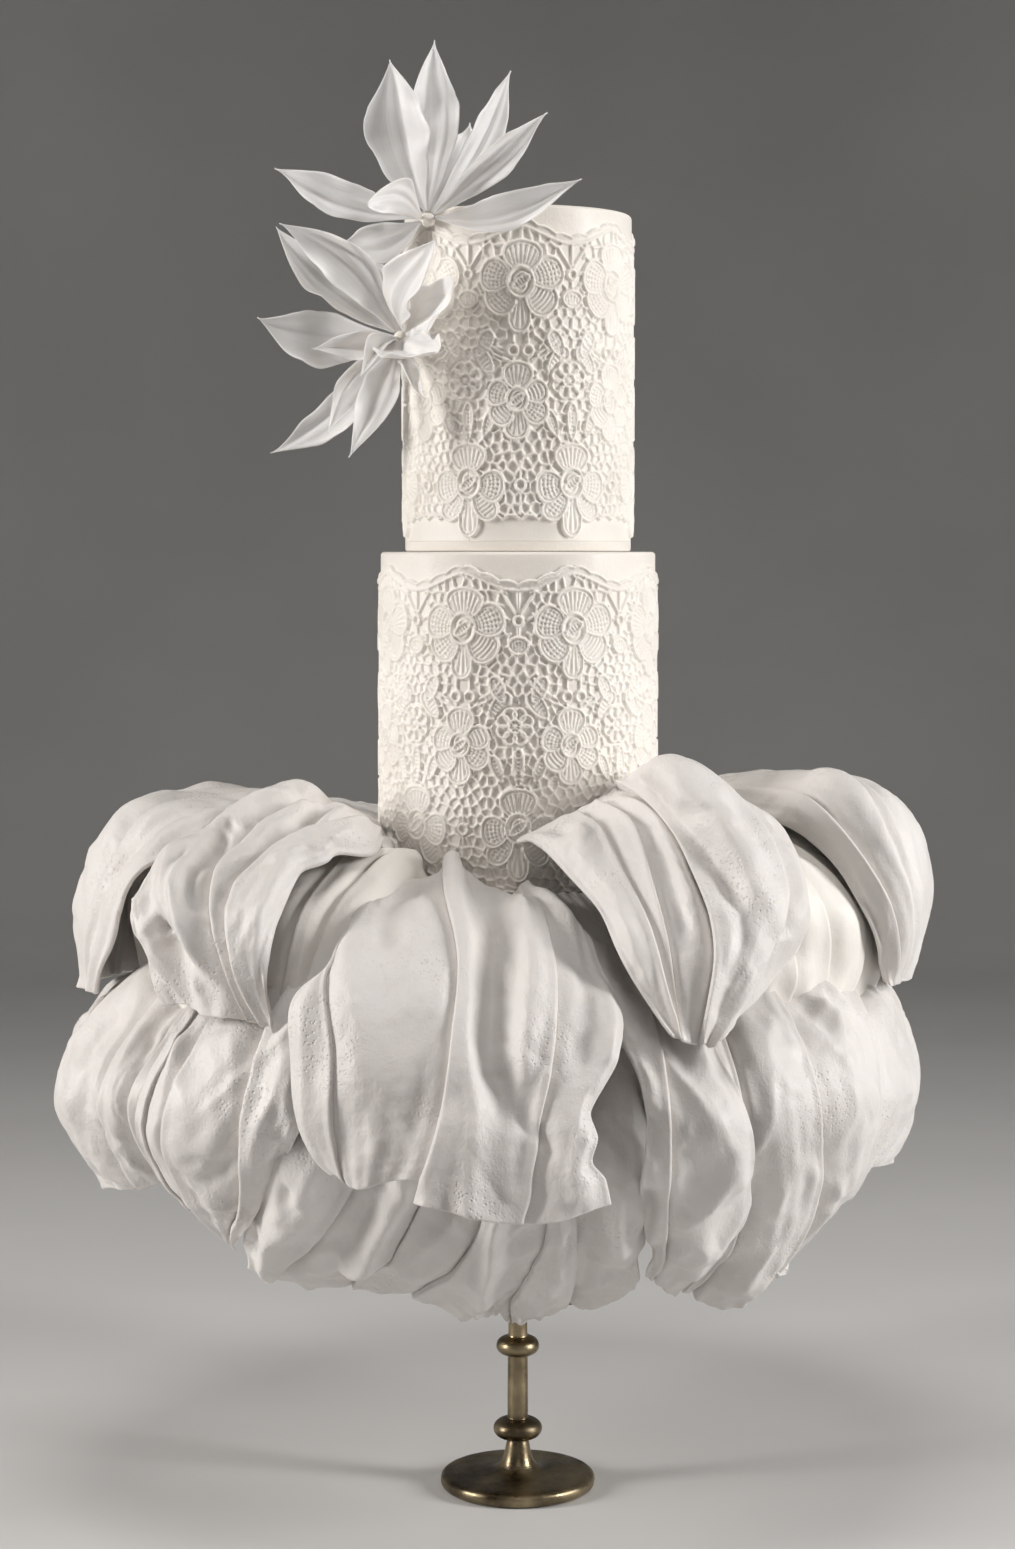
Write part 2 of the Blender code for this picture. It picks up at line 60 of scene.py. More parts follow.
def smooth_piece(name, points, faces, finish):
    """A smooth mesh from points and arrays of quads or triangles, in one finish."""
    mesh = bpy.data.meshes.new(name)
    corners = np.concatenate([f.ravel() for f in faces]).astype(np.int32)
    sizes = np.concatenate([np.full(len(f), f.shape[1]) for f in faces])
    starts = np.concatenate([[0], np.cumsum(sizes)[:-1]]).astype(np.int32)
    mesh.vertices.add(len(points))
    mesh.vertices.foreach_set("co", np.asarray(points, np.float32).ravel())
    mesh.loops.add(len(corners))
    mesh.loops.foreach_set("vertex_index", corners)
    mesh.polygons.add(len(sizes))
    mesh.polygons.foreach_set("loop_start", starts)
    mesh.update(calc_edges=True)
    mesh.shade_smooth()
    mesh.materials.append(finish)
    piece = bpy.data.objects.new(name, mesh)
    bpy.context.scene.collection.objects.link(piece)
    return piece


def piece_from(name, points, faces, finish, node, slot):
    """A smooth piece of the cake that rides on its body and stands for a node, if it has one."""
    piece = smooth_piece(name, points, faces, finish)
    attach(piece, "root")
    if node:
        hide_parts(*node)
    return piece


def ring_faces(rows, sides):
    """Faces over rows of rings with so many sides each: the quads between every ring and
    the next, and the triangles from one more point to the first ring, and to the last."""
    here = np.arange(sides)
    after = (here + 1) % sides
    ring = (np.arange(rows - 1) * sides)[:, None]
    wall = np.stack([ring + here, ring + here + sides, ring + after + sides, ring + after], 2)
    top = np.stack([np.full(sides, rows * sides), here, after], 1)
    low = (rows - 1) * sides
    bottom = np.stack([np.full(sides, rows * sides + 1), low + after, low + here], 1)
    return [wall.reshape(-1, 4), top, bottom]


def turned(profile, sides):
    """Points and faces of a turned solid: (r sin a, -r cos a, z) for each (r, z) of the
    profile from top to bottom and a in [0, 2 pi). Its ends lie on the axis."""
    profile = np.array(profile, float)
    angle = np.linspace(0, 2 * math.pi, sides, endpoint=False)
    rim = profile[1:-1]
    x = rim[:, :1] * np.sin(angle)
    y = -rim[:, :1] * np.cos(angle)
    z = np.repeat(rim[:, 1:], sides, axis=1)
    points = np.stack([x, y, z], axis=2).reshape(-1, 3)
    points = np.vstack([points, [0, 0, profile[0, 1]], [0, 0, profile[-1, 1]]])
    return points, ring_faces(len(rim), sides)


def rounded(profile, share=0.25, times=2):
    """A profile with its corners cut: each point between the ends becomes two, at `share`
    of the way to its neighbours, as often as `times` says."""
    line = np.array(profile, float)
    for _ in range(times):
        back = line[1:-1] + (line[:-2] - line[1:-1]) * share
        forth = line[1:-1] + (line[2:] - line[1:-1]) * share
        middle = np.stack([back, forth], axis=1).reshape(-1, 2)
        line = np.vstack([line[:1], middle, line[-1:]])
    return line


def knop(ring, half_height, count=15):
    """A round knop, ring = (widest, middle): r = stem + (widest - stem) cos(a)^0.9 and
    z = middle + half_height sin a."""
    swing = np.linspace(math.pi / 2, -math.pi / 2, count)
    radius = STEM_RADIUS + (ring[0] - STEM_RADIUS) * np.cos(swing) ** 0.9
    return list(zip(radius, ring[1] + half_height * np.sin(swing)))


def dial(node, **values):
    """Sets a node's sockets and settings by name: From_Min is its socket From Min."""
    for name, value in values.items():
        socket = name.replace("_", " ")
        if socket in node.inputs:
            node.inputs[socket].default_value = value
        else:
            setattr(node, name, value)
    return node


def place(tree, kind, **values):
    """A new shader node of one kind, with its sockets and settings."""
    return dial(tree.nodes.new("ShaderNode" + kind), **values)


def wire(tree, *links):
    """Joins nodes. Each link is (node, its output, next node, its input)."""
    for node, output, following, socket in links:
        tree.links.new(node.outputs[output], following.inputs[socket])


def fresh_material(name, **values):
    """A new material: its nodes, its shader set to the values, and a node with its place."""
    made = bpy.data.materials.new(name)
    made.use_nodes = True
    tree = made.node_tree
    where = place(tree, "TexCoord")
    return made, tree, dial(tree.nodes["Principled BSDF"], **values), where


def mottle(tree, where, shader, socket, scale, detail, low, high, span=(0.35, 0.65)):
    """A noise of the given scale that runs a shader's socket from low, where the noise is
    at one end of the span, to high at the other: two colours or two numbers."""
    noise = place(tree, "TexNoise", Scale=scale, Detail=detail)
    wire(tree, (where, "Object", noise, "Vector"))
    if socket == "Base Color":
        ramp = place(tree, "ValToRGB")
        for stop, level, colour in zip(ramp.color_ramp.elements, span, (low, high)):
            stop.position = level
            stop.color = (*colour, 1)
        wire(tree, (noise, "Fac", ramp, "Fac"), (ramp, "Color", shader, socket))
    else:
        spread = place(
            tree, "MapRange", From_Min=span[0], From_Max=span[1], To_Min=low, To_Max=high
        )
        wire(tree, (noise, "Fac", spread, "Value"), (spread, "Result", shader, socket))


def aged_brass():
    """Brass that is bright where it was rubbed and dark where it tarnished, with the fine
    rings that the lathe left."""
    made, tree, shader, where = fresh_material("Aged brass", Metallic=1.0)
    mottle(tree, where, shader, "Base Color", 38, 6, BRASS_DARK, BRASS_BRIGHT)
    mottle(tree, where, shader, "Roughness", 90, 4, 0.22, 0.44)
    rings = place(tree, "Mapping", Scale=(40, 40, 2600))
    grain = place(tree, "TexNoise", Scale=1.0, Detail=3)
    bump = place(tree, "Bump", Strength=0.35, Distance=0.0003)
    wire(
        tree, (where, "Object", rings, "Vector"), (rings, "Vector", grain, "Vector"),
        (grain, "Fac", bump, "Height"), (bump, "Normal", shader, "Normal"),
    )
    return made


stand_profile = [
    (0.0, PLATE_TOP),
    (PLATE_RADIUS - 0.0008, PLATE_TOP),
    (PLATE_RADIUS, PLATE_TOP - 0.0010),
    (PLATE_RADIUS - 0.0010, PLATE_TOP - 0.0040),
    (0.020, PLATE_TOP - 0.0065),
    (0.0115, PLATE_TOP - 0.0115),
    (STEM_RADIUS * 0.95, PLATE_TOP - 0.0220),
    (STEM_RADIUS * 0.95, UPPER_KNOP[1] + 0.0072),
    *knop(UPPER_KNOP, 0.0056),
    (STEM_RADIUS, UPPER_KNOP[1] - 0.0075),
    (STEM_RADIUS * 1.05, 0.0440),
    *knop(LOWER_KNOP, 0.0062),
    (0.0070, 0.0265),
    (0.0082, 0.0190),
    (0.0112, 0.0128),
    (0.0165, 0.0098),
    (FOOT_RADIUS - 0.0040, FOOT_HEIGHT),
    (FOOT_RADIUS - 0.0012, FOOT_HEIGHT - 0.0010),
    (FOOT_RADIUS, FOOT_HEIGHT - 0.0032),
    (FOOT_RADIUS - 0.0005, 0.0018),
    (FOOT_RADIUS - 0.0030, 0.0),
    (0.0, 0.0),
]
brass = aged_brass()
piece_from(
    "turned_stand", *turned(rounded(stand_profile), STAND_SIDES), brass, ["stand"], "brass"
)


# Base cake and barrels

# A wide base cake hidden under the skirt and two tall round barrels above it, each covered
# in smooth white sugarpaste with a softly rounded top edge, stacked on dowels.
LOWER_BARREL_RADIUS = 0.0810
LOWER_BARREL_BOTTOM = 0.365
LOWER_BARREL_TOP = 0.5636
UPPER_BARREL_RADIUS = 0.0665
UPPER_BARREL_TOP = 0.7590
BARREL_EDGE = 0.0022
BARREL_GAP = 0.0003
WARM_WHITE = (0.84, 0.80, 0.745)
WARM_SHADE = (0.79, 0.75, 0.69)


def sugarpaste(name, light, shade, grain=1.0, pits=1.0):
    """Rolled sugarpaste: faintly mottled, matt with a little sheen, lit through its skin.
    Four reliefs lie one over the other: a fine orange-peel grain, patches of small pits,
    faint roller marks, and the slight lumps that fingers leave."""
    made, tree, shader, where = fresh_material(
        name, Subsurface_Weight=0.10, Subsurface_Radius=(1.0, 0.72, 0.5), Subsurface_Scale=0.0025
    )
    mottle(tree, where, shader, "Base Color", 11, 4, shade, light, (0.30, 0.62))
    mottle(tree, where, shader, "Roughness", 60, 3, 0.44, 0.62)
    peel = place(tree, "TexNoise", Scale=520, Detail=3)
    peel_relief = place(tree, "Bump", Strength=0.30 * grain, Distance=0.0006)
    dots = place(tree, "TexVoronoi", Scale=430)
    pit = place(tree, "MapRange", From_Max=0.38)
    patch = place(tree, "TexNoise", Scale=17, Detail=2)
    patchy = place(tree, "MapRange", From_Min=0.50, From_Max=0.66, To_Max=0.75 * pits)
    pit_relief = place(tree, "Bump", Distance=0.0007)
    marks = place(tree, "Mapping", Rotation=(0.5, 0.9, 0.4), Scale=(950, 90, 300))
    lines = place(tree, "TexNoise", Scale=1.0, Detail=2)
    line_relief = place(tree, "Bump", Strength=0.22 * grain, Distance=0.0006)
    lumps = place(tree, "TexNoise", Scale=150, Detail=5, Roughness=0.6)
    lump_relief = place(tree, "Bump", Strength=0.45 * grain, Distance=0.0014)
    for pattern in (peel, dots, patch, lumps, marks):
        wire(tree, (where, "Object", pattern, "Vector"))
    wire(
        tree, (peel, "Fac", peel_relief, "Height"), (dots, "Distance", pit, "Value"),
        (pit, "Result", pit_relief, "Height"), (patch, "Fac", patchy, "Value"),
        (patchy, "Result", pit_relief, "Strength"), (marks, "Vector", lines, "Vector"),
        (lines, "Fac", line_relief, "Height"), (lumps, "Fac", lump_relief, "Height"),
        (peel_relief, "Normal", pit_relief, "Normal"),
        (pit_relief, "Normal", line_relief, "Normal"),
        (line_relief, "Normal", lump_relief, "Normal"), (lump_relief, "Normal", shader, "Normal"),
    )
    return made


def barrel_profile(radius, low, high):
    """The profile of one barrel from its top to its underside: flat, then a quarter circle
    of the edge's radius, then a straight wall."""
    swing = np.linspace(0, math.pi / 2, 9)
    over = radius - BARREL_EDGE + BARREL_EDGE * np.sin(swing)
    down = high - BARREL_EDGE + BARREL_EDGE * np.cos(swing)
    wall = [(radius, z) for z in np.linspace(high - 0.006, low + 0.001, 40)]
    flat = [(0.0, high), (radius * 0.5, high), (radius * 0.9, high)]
    return [*flat, *zip(over, down), *wall, (radius - 0.0008, low), (0.0, low)]


barrel_paste = sugarpaste("Smooth sugarpaste", WARM_WHITE, WARM_SHADE, grain=0.5, pits=0.2)
for tier, radius, low, high, sides in (
    ("lower", LOWER_BARREL_RADIUS, LOWER_BARREL_BOTTOM, LOWER_BARREL_TOP, 200),
    ("upper", UPPER_BARREL_RADIUS, LOWER_BARREL_TOP + BARREL_GAP, UPPER_BARREL_TOP, 180),
):
    piece_from(
        f"covered_barrel_{tier}", *turned(barrel_profile(radius, low, high), sides),
        barrel_paste, [f"barrel_{tier}"], "sugarpaste",
    )
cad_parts["base_cake"].data.materials[0] = barrel_paste


# Sugar lace

# One band of sugar lace round each barrel, cast in a flat mould with a big, a middle and a
# hanging flower in a corded net, peeled out soft and pressed on. The mould repeats 8 times
# round the lower barrel and 7 times round the upper one. The mould is drawn in mm.
LACE_RELIEF = 0.00122
LACE_CELL = 0.665
LACE_TOP_GAP = 0.0065
LACE_BACKING = 0.0010
LACE_PANELS = 3
CORD = 0.62
UNCOVERED = -0.5  # relief beyond the lace's edges, under the barrel's surface
OPENING = -0.4  # and in its openings
LACE_WHITE = (0.90, 0.865, 0.81)
LACE_SHADE = (0.83, 0.79, 0.725)
# Petals of each flower: heading in degrees clockwise from up, near and far end, half width.
BIG_FLOWER = [
    (182, 7, 29, 6.8, "fan"), (230, 5, 24, 9.6, "net"), (130, 5, 25, 9.6, "ribs"),
    (284, 5, 24, 10.0, "net"), (72, 5, 26, 9.8, "net"), (4, 5, 24, 11.5, "fan"),
]
MIDDLE_FLOWER = [
    (181, 5, 23, 7.4, "fan"), (228, 4, 19, 7.6, "ribs"), (122, 4, 20, 7.6, "net"),
    (288, 4, 18, 7.8, "net"), (68, 4, 19, 7.2, "ribs"), (2, 5, 22, 8.8, "fan"),
]
HANGING_FLOWER = [
    (180, 7, 31, 6.6, "fan"), (218, 6, 26, 6.8, "net"), (143, 6, 26, 6.8, "ribs"),
    (262, 5, 22, 9.4, "net"), (97, 5, 22, 9.4, "net"), (0, 5, 23, 11.0, "fan"),
]


def smooth(x):
    """3x^2 - 2x^3 between 0 and 1, flat outside."""
    x = np.clip(x, 0, 1)
    return x * x * (3 - 2 * x)


def cord(distance, height, half=CORD):
    """A round cord seen across: height * (1 - smooth((d - half / 2) / (0.9 half)))."""
    return height * (1 - smooth((np.abs(distance) - half / 2) / (0.9 * half)))


def bar(dx, dz, ends, height=1.2, half=CORD):
    """A straight cord between two points: d is the distance from the line that joins them."""
    (x0, z0), (x1, z1) = ends
    run, fall = x1 - x0, z1 - z0
    share = np.clip(((dx - x0) * run + (dz - z0) * fall) / (run**2 + fall**2), 0, 1)
    return cord(np.hypot(dx - x0 - share * run, dz - z0 - share * fall), height, half)


def net_of_cords(x, z, width, drop, seed=5):
    """Cords along the borders between scattered cells, where the two nearest cell centres
    are equally far; the cells are drawn out up and down, and more so near the top edge."""
    chance = np.random.default_rng(seed)
    centres = []
    level = 3.0
    row = 0
    while level < drop + 8:
        tall, wide = (9.5, 5.4) if level < 16 else (6.4, 6.0)
        count = round(width / wide)
        across = np.arange(count) + 0.5 * (row % 2) + chance.uniform(-0.30, 0.30, count)
        across = across * width / count
        down = level + chance.uniform(-0.30, 0.30, count) * tall
        centres.append(np.stack([across, down], 1))
        level += tall * 0.9
        row += 1
    centres = np.vstack(centres)
    dx = (x[..., None] - centres[:, 0] + width / 2) % width - width / 2
    dz = (z[..., None] - centres[:, 1]) * 0.86
    distance = np.hypot(dx, dz)
    first = distance.argmin(axis=-1)
    i, j = np.indices(first.shape)
    ax, az = dx[i, j, first], dz[i, j, first]
    bx, bz = dx - ax[..., None], dz - az[..., None]
    apart = np.hypot(bx, bz)
    border = np.where(
        apart > 1e-6,
        (distance**2 - distance[i, j, first][..., None] ** 2) / (2 * np.maximum(apart, 1e-6)), 99
    )
    return cord(border.min(axis=-1), 1.15, 0.60)


def lace_petal(dx, dz, heading, near, far, half_width, pattern):
    """One netted petal: an egg, (along)^2 + (across)^2 = 1, whose half width grows by a
    fifth towards its far end. A thick cord follows its edge and a thin one 2.5 mm inside it;
    in the middle run fanned ribs, arcs across, or both. Returns where it lies, its relief."""
    h = math.radians(heading)
    p = dx * math.sin(h) - dz * math.cos(h)
    q = dx * math.cos(h) + dz * math.sin(h)
    half_long = (far - near) / 2
    along = (p - (near + far) / 2) / half_long
    across = q / (half_width * (1 + 0.22 * np.clip(along, -1, 1)))
    e = np.sqrt(along**2 + across**2)
    slope = np.sqrt((along / half_long) ** 2 + (across / half_width) ** 2) / np.maximum(e, 1e-6)
    inside = (1 - e) / np.maximum(slope, 1e-6)
    fan = np.arctan2(q, p - near + 7.0)
    spokes = np.cos(fan * 46)
    arcs = np.cos(2 * math.pi * np.hypot(q, p - near + 7.0) / 2.3)
    if pattern == "fan":
        weave = 0.62 + 0.62 * smooth((spokes + 0.5) / 1.2)
    elif pattern == "ribs":
        weave = 0.58 + 0.62 * smooth((arcs + 0.4) / 1.2)
    else:
        weave = 0.50 + 0.68 * np.maximum(smooth((spokes + 0.1) / 1.0), smooth((arcs + 0.1) / 1.0))
    weave = np.where(inside > 2.9, weave, 0.55)
    relief = np.maximum(weave, cord(inside - 0.75, 1.75, 0.80))
    relief = np.maximum(relief, cord(inside - 2.55, 1.25, 0.52))
    return inside > 0.05, relief


def lace_middle(dx, dz, radius, oval=1.0):
    """The middle of a flower: a raised disc with curled ridges, cos(2 pi r / 3 - 2 a),
    inside a thick cord, and one slanted leaf across it. Returns where it lies, its relief."""
    r = np.hypot(dx, dz / oval)
    angle = np.arctan2(dz, dx)
    curl = 0.85 + 0.55 * np.cos(2 * math.pi * r / 3.0 - 2 * angle)
    relief = np.maximum(curl, cord(r - radius + 0.7, 1.85, 0.75))
    t = math.radians(38)
    p, q = dx * math.cos(t) - dz * math.sin(t), dx * math.sin(t) + dz * math.cos(t)
    leaf = np.hypot(p / (radius * 0.72), q / (radius * 0.30))
    relief = np.where(leaf < 1, 0.9 + 0.5 * np.cos(2 * math.pi * p / 1.9), relief)
    relief = np.maximum(relief, cord((leaf - 1) * radius * 0.30, 1.7, 0.55))
    return r < radius, relief


def lace_tile(width, drop, border):
    """The relief of one repeat over the fondant, as rows down and columns across (x = 0 is
    the big flower's axis); it is below zero where there is no lace. Motifs are laid over the
    net one after another. The net ends in scallops, border - 2.5 |sin(6 pi x / width)| mm
    down, and the band is `drop` mm long."""
    columns = round(width / LACE_CELL)
    x = (np.arange(columns) / columns - 0.5)[None, :] * width
    z = np.linspace(0, drop, round(drop / LACE_CELL) + 1)[:, None]
    x, z = np.broadcast_arrays(x, z)
    half = width / 2
    relief = net_of_cords(x, z, width, drop)
    top = 9.5 * np.abs(np.sin(np.pi * x / width)) ** 1.5 + 1.6
    small = top - 1.5 * np.abs(np.sin(6 * np.pi * x / width))
    bottom = border - 2.5 * np.abs(np.sin(6 * np.pi * x / width))
    stage = [relief]

    def wrap(x0):
        """Distance across from x0, the short way round the repeat."""
        return (x - x0 + half) % width - half

    def lay(part):
        """Lays a motif over what is there."""
        where, shape = part
        stage[0] = np.where(where, shape, stage[0])

    def join(shape):
        """Melts a shape into what is there: the higher of the two."""
        stage[0] = np.maximum(stage[0], shape)

    def clear(x0, z0, rx, rz):
        """An oval opening."""
        stage[0] = np.where(np.hypot(wrap(x0) / rx, (z - z0) / rz) < 1, OPENING, stage[0])

    def ring(x0, z0, radius):
        """A round eyelet: an opening inside a thick cord, with a flat strip round it."""
        r = np.hypot(wrap(x0), z - z0)
        hole = np.where(r < radius, OPENING, 0.0)
        stage[0] = np.where(r < radius + 1.4, hole, stage[0])
        join(cord(r - radius, 1.55, 0.78))

    # The star of bars over the hanging flower's axis, with an eyelet in its middle.
    clear(half, 26, 8, 15)
    for ends in (
        ((0, 14), (0, 30)), ((-9, 17), (0, 30)), ((9, 17), (0, 30)), ((0, 35), (0, 42)),
        ((-12, 28), (-3, 33)), ((12, 28), (3, 33)),
    ):
        join(bar(wrap(half), z, ends, 1.3, 0.7))
    ring(half, 32.5, 2.7)
    # Leaves beside and under the big flower, and the two garlands that join them.
    lay(lace_petal(wrap(half), z - 52, 0, 0, 11, 6.5, "fan"))
    for side in (-1, 1):
        lay(lace_petal(wrap(side * 15.5), z - 88, side * 38, 0, 19, 5.0, "ribs"))
        lay(lace_petal(wrap(side * 24.0), z - 79, side * -24, 0, 17, 4.6, "net"))
        r = np.hypot(wrap(0), z - 52)
        reach = np.degrees(np.arctan2(side * wrap(0), z - 52))
        for radius in (26.5, 29.5):
            join(np.where((reach > 8) & (reach < 62), cord(r - radius, 1.35, 0.66), -1))
    # Two eyelets on two bars between the big and the middle flower.
    clear(0, 74, 10, 8)
    for x0 in (-4.2, 4.2):
        join(bar(wrap(x0), z, ((0, 60), (0, 84)), 1.2, 0.62))
    for x0 in (-4.2, 4.2):
        ring(x0, 75.5, 2.9)
    # A rosette of eight rings round a ninth, with four bars crossed in its middle.
    clear(half - 2, 92, 12.5, 12.5)
    dx, dz = wrap(half - 2), z - 92
    for k in range(8):
        t = math.radians(45 * k + 22)
        r = np.hypot(dx - 7.2 * math.cos(t), dz - 7.2 * math.sin(t))
        join(cord(r - 3.5, 1.45, 0.68))
    r = np.hypot(dx, dz)
    join(cord(r - 3.6, 1.4, 0.66))
    for k in range(4):
        t = math.radians(45 * k)
        x1, z1 = 4 * math.cos(t), 4 * math.sin(t)
        join(np.where(r < 4.4, bar(dx, dz, ((-x1, -z1), (x1, z1)), 1.1, 0.5), -1))
    # Three leaves over the hanging flower, and an eyelet on a bar under the middle flower.
    for x0, z0, heading, far in ((0, 126, 0, 22), (-9, 124, -22, 17), (9, 124, 22, 17)):
        lay(lace_petal(wrap(half + x0), z - z0, heading, 0, far, 3.6, "ribs"))
    ring(0, 151, 3.0)
    join(bar(wrap(0), z, ((0, 138), (0, 148)), 1.2, 0.62))
    join(bar(wrap(0), z, ((0, 154), (0, 168)), 1.2, 0.62))

    # The flowers go on last, and the hanging flower's petals reach past the scallops.
    for x0, z0, flower, middle in (
        (0, 37, BIG_FLOWER, 8.2), (-2, 103, MIDDLE_FLOWER, 6.6), (half, 150, HANGING_FLOWER, 8.0)
    ):
        dx, dz = wrap(x0), z - z0
        for petal in flower:
            lay(lace_petal(dx, dz, *petal))
        lay(lace_middle(dx, dz, middle, 1.15))

    in_hanging = np.zeros(x.shape, bool)
    for petal in HANGING_FLOWER:
        in_hanging |= lace_petal(wrap(half), z - 150, *petal)[0]
    relief = np.where((z > bottom) & ~in_hanging, UNCOVERED, stage[0])
    relief = np.where(
        ~in_hanging, np.maximum(relief, cord(z - bottom + 0.6, 1.6, 0.75)), relief
    )

    # The top edge: a stippled strip between two cords, and small scallops over it.
    band = (z > top) & (z < top + 4.0)
    stipple = 0.75 + 0.35 * np.cos(2 * math.pi * x / 1.7) * np.cos(2 * math.pi * z / 1.7)
    relief = np.where(band, stipple, relief)
    relief = np.maximum(relief, cord(z - top - 4.2, 1.45, 0.66))
    relief = np.maximum(relief, cord(z - small - 0.8, 1.75, 0.80))
    relief = np.where((z > small) & (z < top) & (relief < 0.7), 0.7, relief)
    relief = np.where(z < small, UNCOVERED, relief)
    return np.maximum(relief, UNCOVERED)


def lace_panel(radius, top, drop, tile, repeats, phase, part, parts):
    """Points (m) and faces of one closed panel of a band: the tile's relief laid over the
    barrel, r = radius + relief, a = phase + 2 pi j / columns, with a plain wall inside."""
    rows, one = tile.shape
    whole = one * repeats
    first, last = whole * part // parts, whole * (part + 1) // parts
    j = np.arange(first, last + 1)
    angle = math.radians(phase) + (j / one - 0.5) * 2 * math.pi / repeats
    out = radius + tile[:, j % one] * LACE_RELIEF
    z = top - np.linspace(0, drop, rows)[:, None] * 0.001 + 0 * out
    front = np.stack([out * np.sin(angle), -out * np.cos(angle), z], 2)
    inner = radius - LACE_BACKING
    rim = np.stack([inner * np.sin(angle), -inner * np.cos(angle), 0 * angle], 1)
    back_top = rim + [0, 0, z[0, 0]]
    back_low = rim + [0, 0, z[-1, 0]]
    columns = len(j)
    points = np.vstack([front.reshape(-1, 3), back_top, back_low])
    n = np.arange(rows * columns).reshape(rows, columns)
    t = rows * columns + np.arange(columns)
    b = t + columns
    faces = [
        np.stack([n[:-1, :-1], n[1:, :-1], n[1:, 1:], n[:-1, 1:]], 2).reshape(-1, 4),
        np.stack([n[0, :-1], n[0, 1:], t[1:], t[:-1]], 1),
        np.stack([n[-1, :-1], b[:-1], b[1:], n[-1, 1:]], 1),
        np.stack([t[:-1], t[1:], b[1:], b[:-1]], 1),
        np.concatenate([[n[0, 0], t[0], b[0]], n[:0:-1, 0]])[None, :],
        np.concatenate([n[:, -1], [b[-1], t[-1]]])[None, :],
    ]
    return points, faces


def sugar_lace():
    """Set sugar lace: ivory, matt, with a fine thread grain, faintly mottled between a warmer and a
    paler tone.
    """
    made, tree, shader, where = fresh_material(
        "Ivory sugar lace",
        Subsurface_Weight=0.06, Subsurface_Radius=(1.0, 0.75, 0.5), Subsurface_Scale=0.0015,
    )
    mottle(tree, where, shader, "Base Color", 24, 4, LACE_SHADE, LACE_WHITE, (0.3, 0.6))
    mottle(tree, where, shader, "Roughness", 150, 3, 0.45, 0.62)
    grain = place(tree, "TexNoise", Scale=1400, Detail=2)
    bump = place(tree, "Bump", Strength=0.45, Distance=0.0003)
    wire(
        tree, (where, "Object", grain, "Vector"), (grain, "Fac", bump, "Height"),
        (bump, "Normal", shader, "Normal"),
    )
    return made


lace_finish = sugar_lace()
for tier, radius, top, drop, border, repeats, phase in (
    ("lower", LOWER_BARREL_RADIUS, LOWER_BARREL_TOP, 191.0, 189.0, 8, 22.5),
    ("upper", UPPER_BARREL_RADIUS, UPPER_BARREL_TOP, 183.0, 171.0, 7, 1.0),
):
    tile = lace_tile(2 * math.pi * (radius + 0.001) * 1000 / repeats, drop, border)
    for part in range(LACE_PANELS):
        piece_from(
            f"lace_{tier}_band_{part + 1}",
            *lace_panel(
                radius, top - LACE_TOP_GAP, drop, tile, repeats, phase, part, LACE_PANELS
            ),
            lace_finish, [f"lace_{tier}"], "sugar_lace",
        )


# Skirt

# Sheets of sugarpaste rolled thin, pleated along their length, laid over shaped paper and
# left to set hard. The lower row is fixed round the base cake first, the upper one over it.
# Sizes are in mm; `cell` is the spacing of a sheet's mesh.
PASTE_LIGHT = (0.745, 0.72, 0.695)
PASTE_SHADE = (0.665, 0.638, 0.612)
LINING_LIGHT = (0.84, 0.815, 0.77)
LINING_SHADE = (0.79, 0.76, 0.71)
SHEET_THICKNESS = 2.3
SHEET_CELL = 2.0
BACK_CELL = 3.0
LINING_THICKNESS = 1.6
LINING_CELL = 2.6
RIM = 1.2  # how far in from an edge its rounding reaches
EDGE_STEPS = (0.0, 0.3, 0.9)  # the mesh's first steps in from an edge
EDGE_CLEAR = 1.8
WALL = 85.4  # radius at which the upper row is fixed
OVER = (83.6, 369.5)  # radius and height of the lower row's outer layer, where it is fixed
UNDER = (100.0, 358.8)  # and of its inner layer


def through(at, values, x):
    """A smooth curve through values at the stations at, read at x (cubic Hermite)."""
    at = np.asarray(at, float)
    values = np.asarray(values, float)
    x = np.clip(np.asarray(x, float), at[0], at[-1])
    if len(at) > 2:
        slopes = np.gradient(values, at, axis=0)
    else:
        slopes = np.repeat(np.diff(values, axis=0) / (at[1] - at[0]), 2, axis=0)
    left = np.clip(np.searchsorted(at, x, side="right") - 1, 0, len(at) - 2)
    span = at[left + 1] - at[left]
    u = ((x - at[left]) / span)[:, None]
    flat = values.reshape(len(at), -1)
    tilt = slopes.reshape(len(at), -1)
    here = (
        (2 * u**3 - 3 * u**2 + 1) * flat[left]
        + (u**3 - 2 * u**2 + u) * tilt[left] * span[:, None]
        + (3 * u**2 - 2 * u**3) * flat[left + 1]
        + (u**3 - u**2) * tilt[left + 1] * span[:, None]
    )
    return here.reshape((len(x),) + values.shape[1:])


def eased(at, values, x):
    """Values at the stations at, joined by 3u^2 - 2u^3 between them, read at x."""
    left = np.clip(np.searchsorted(at, x, side="right") - 1, 0, len(at) - 2)
    u = smooth((x - at[left]) / (at[left + 1] - at[left]))
    return values[left] + u * (values[left + 1] - values[left])


def ripples(points, wavelength, seed, waves=14):
    """A sum of cosines of random heading and phase, with wavelengths of 0.7 to 1.4 times the
    given one, divided by sqrt(waves / 2), so that it swings about 1 up and down."""
    chance = np.random.default_rng(seed)
    heading = chance.normal(size=(waves, points.shape[-1]))
    heading /= np.linalg.norm(heading, axis=1, keepdims=True)
    turns = heading * (2 * math.pi / (wavelength * chance.uniform(0.7, 1.4, waves)))[:, None]
    phase = chance.uniform(0, 2 * math.pi, waves)
    return np.cos(points @ turns.T + phase).sum(axis=-1) / math.sqrt(waves / 2)


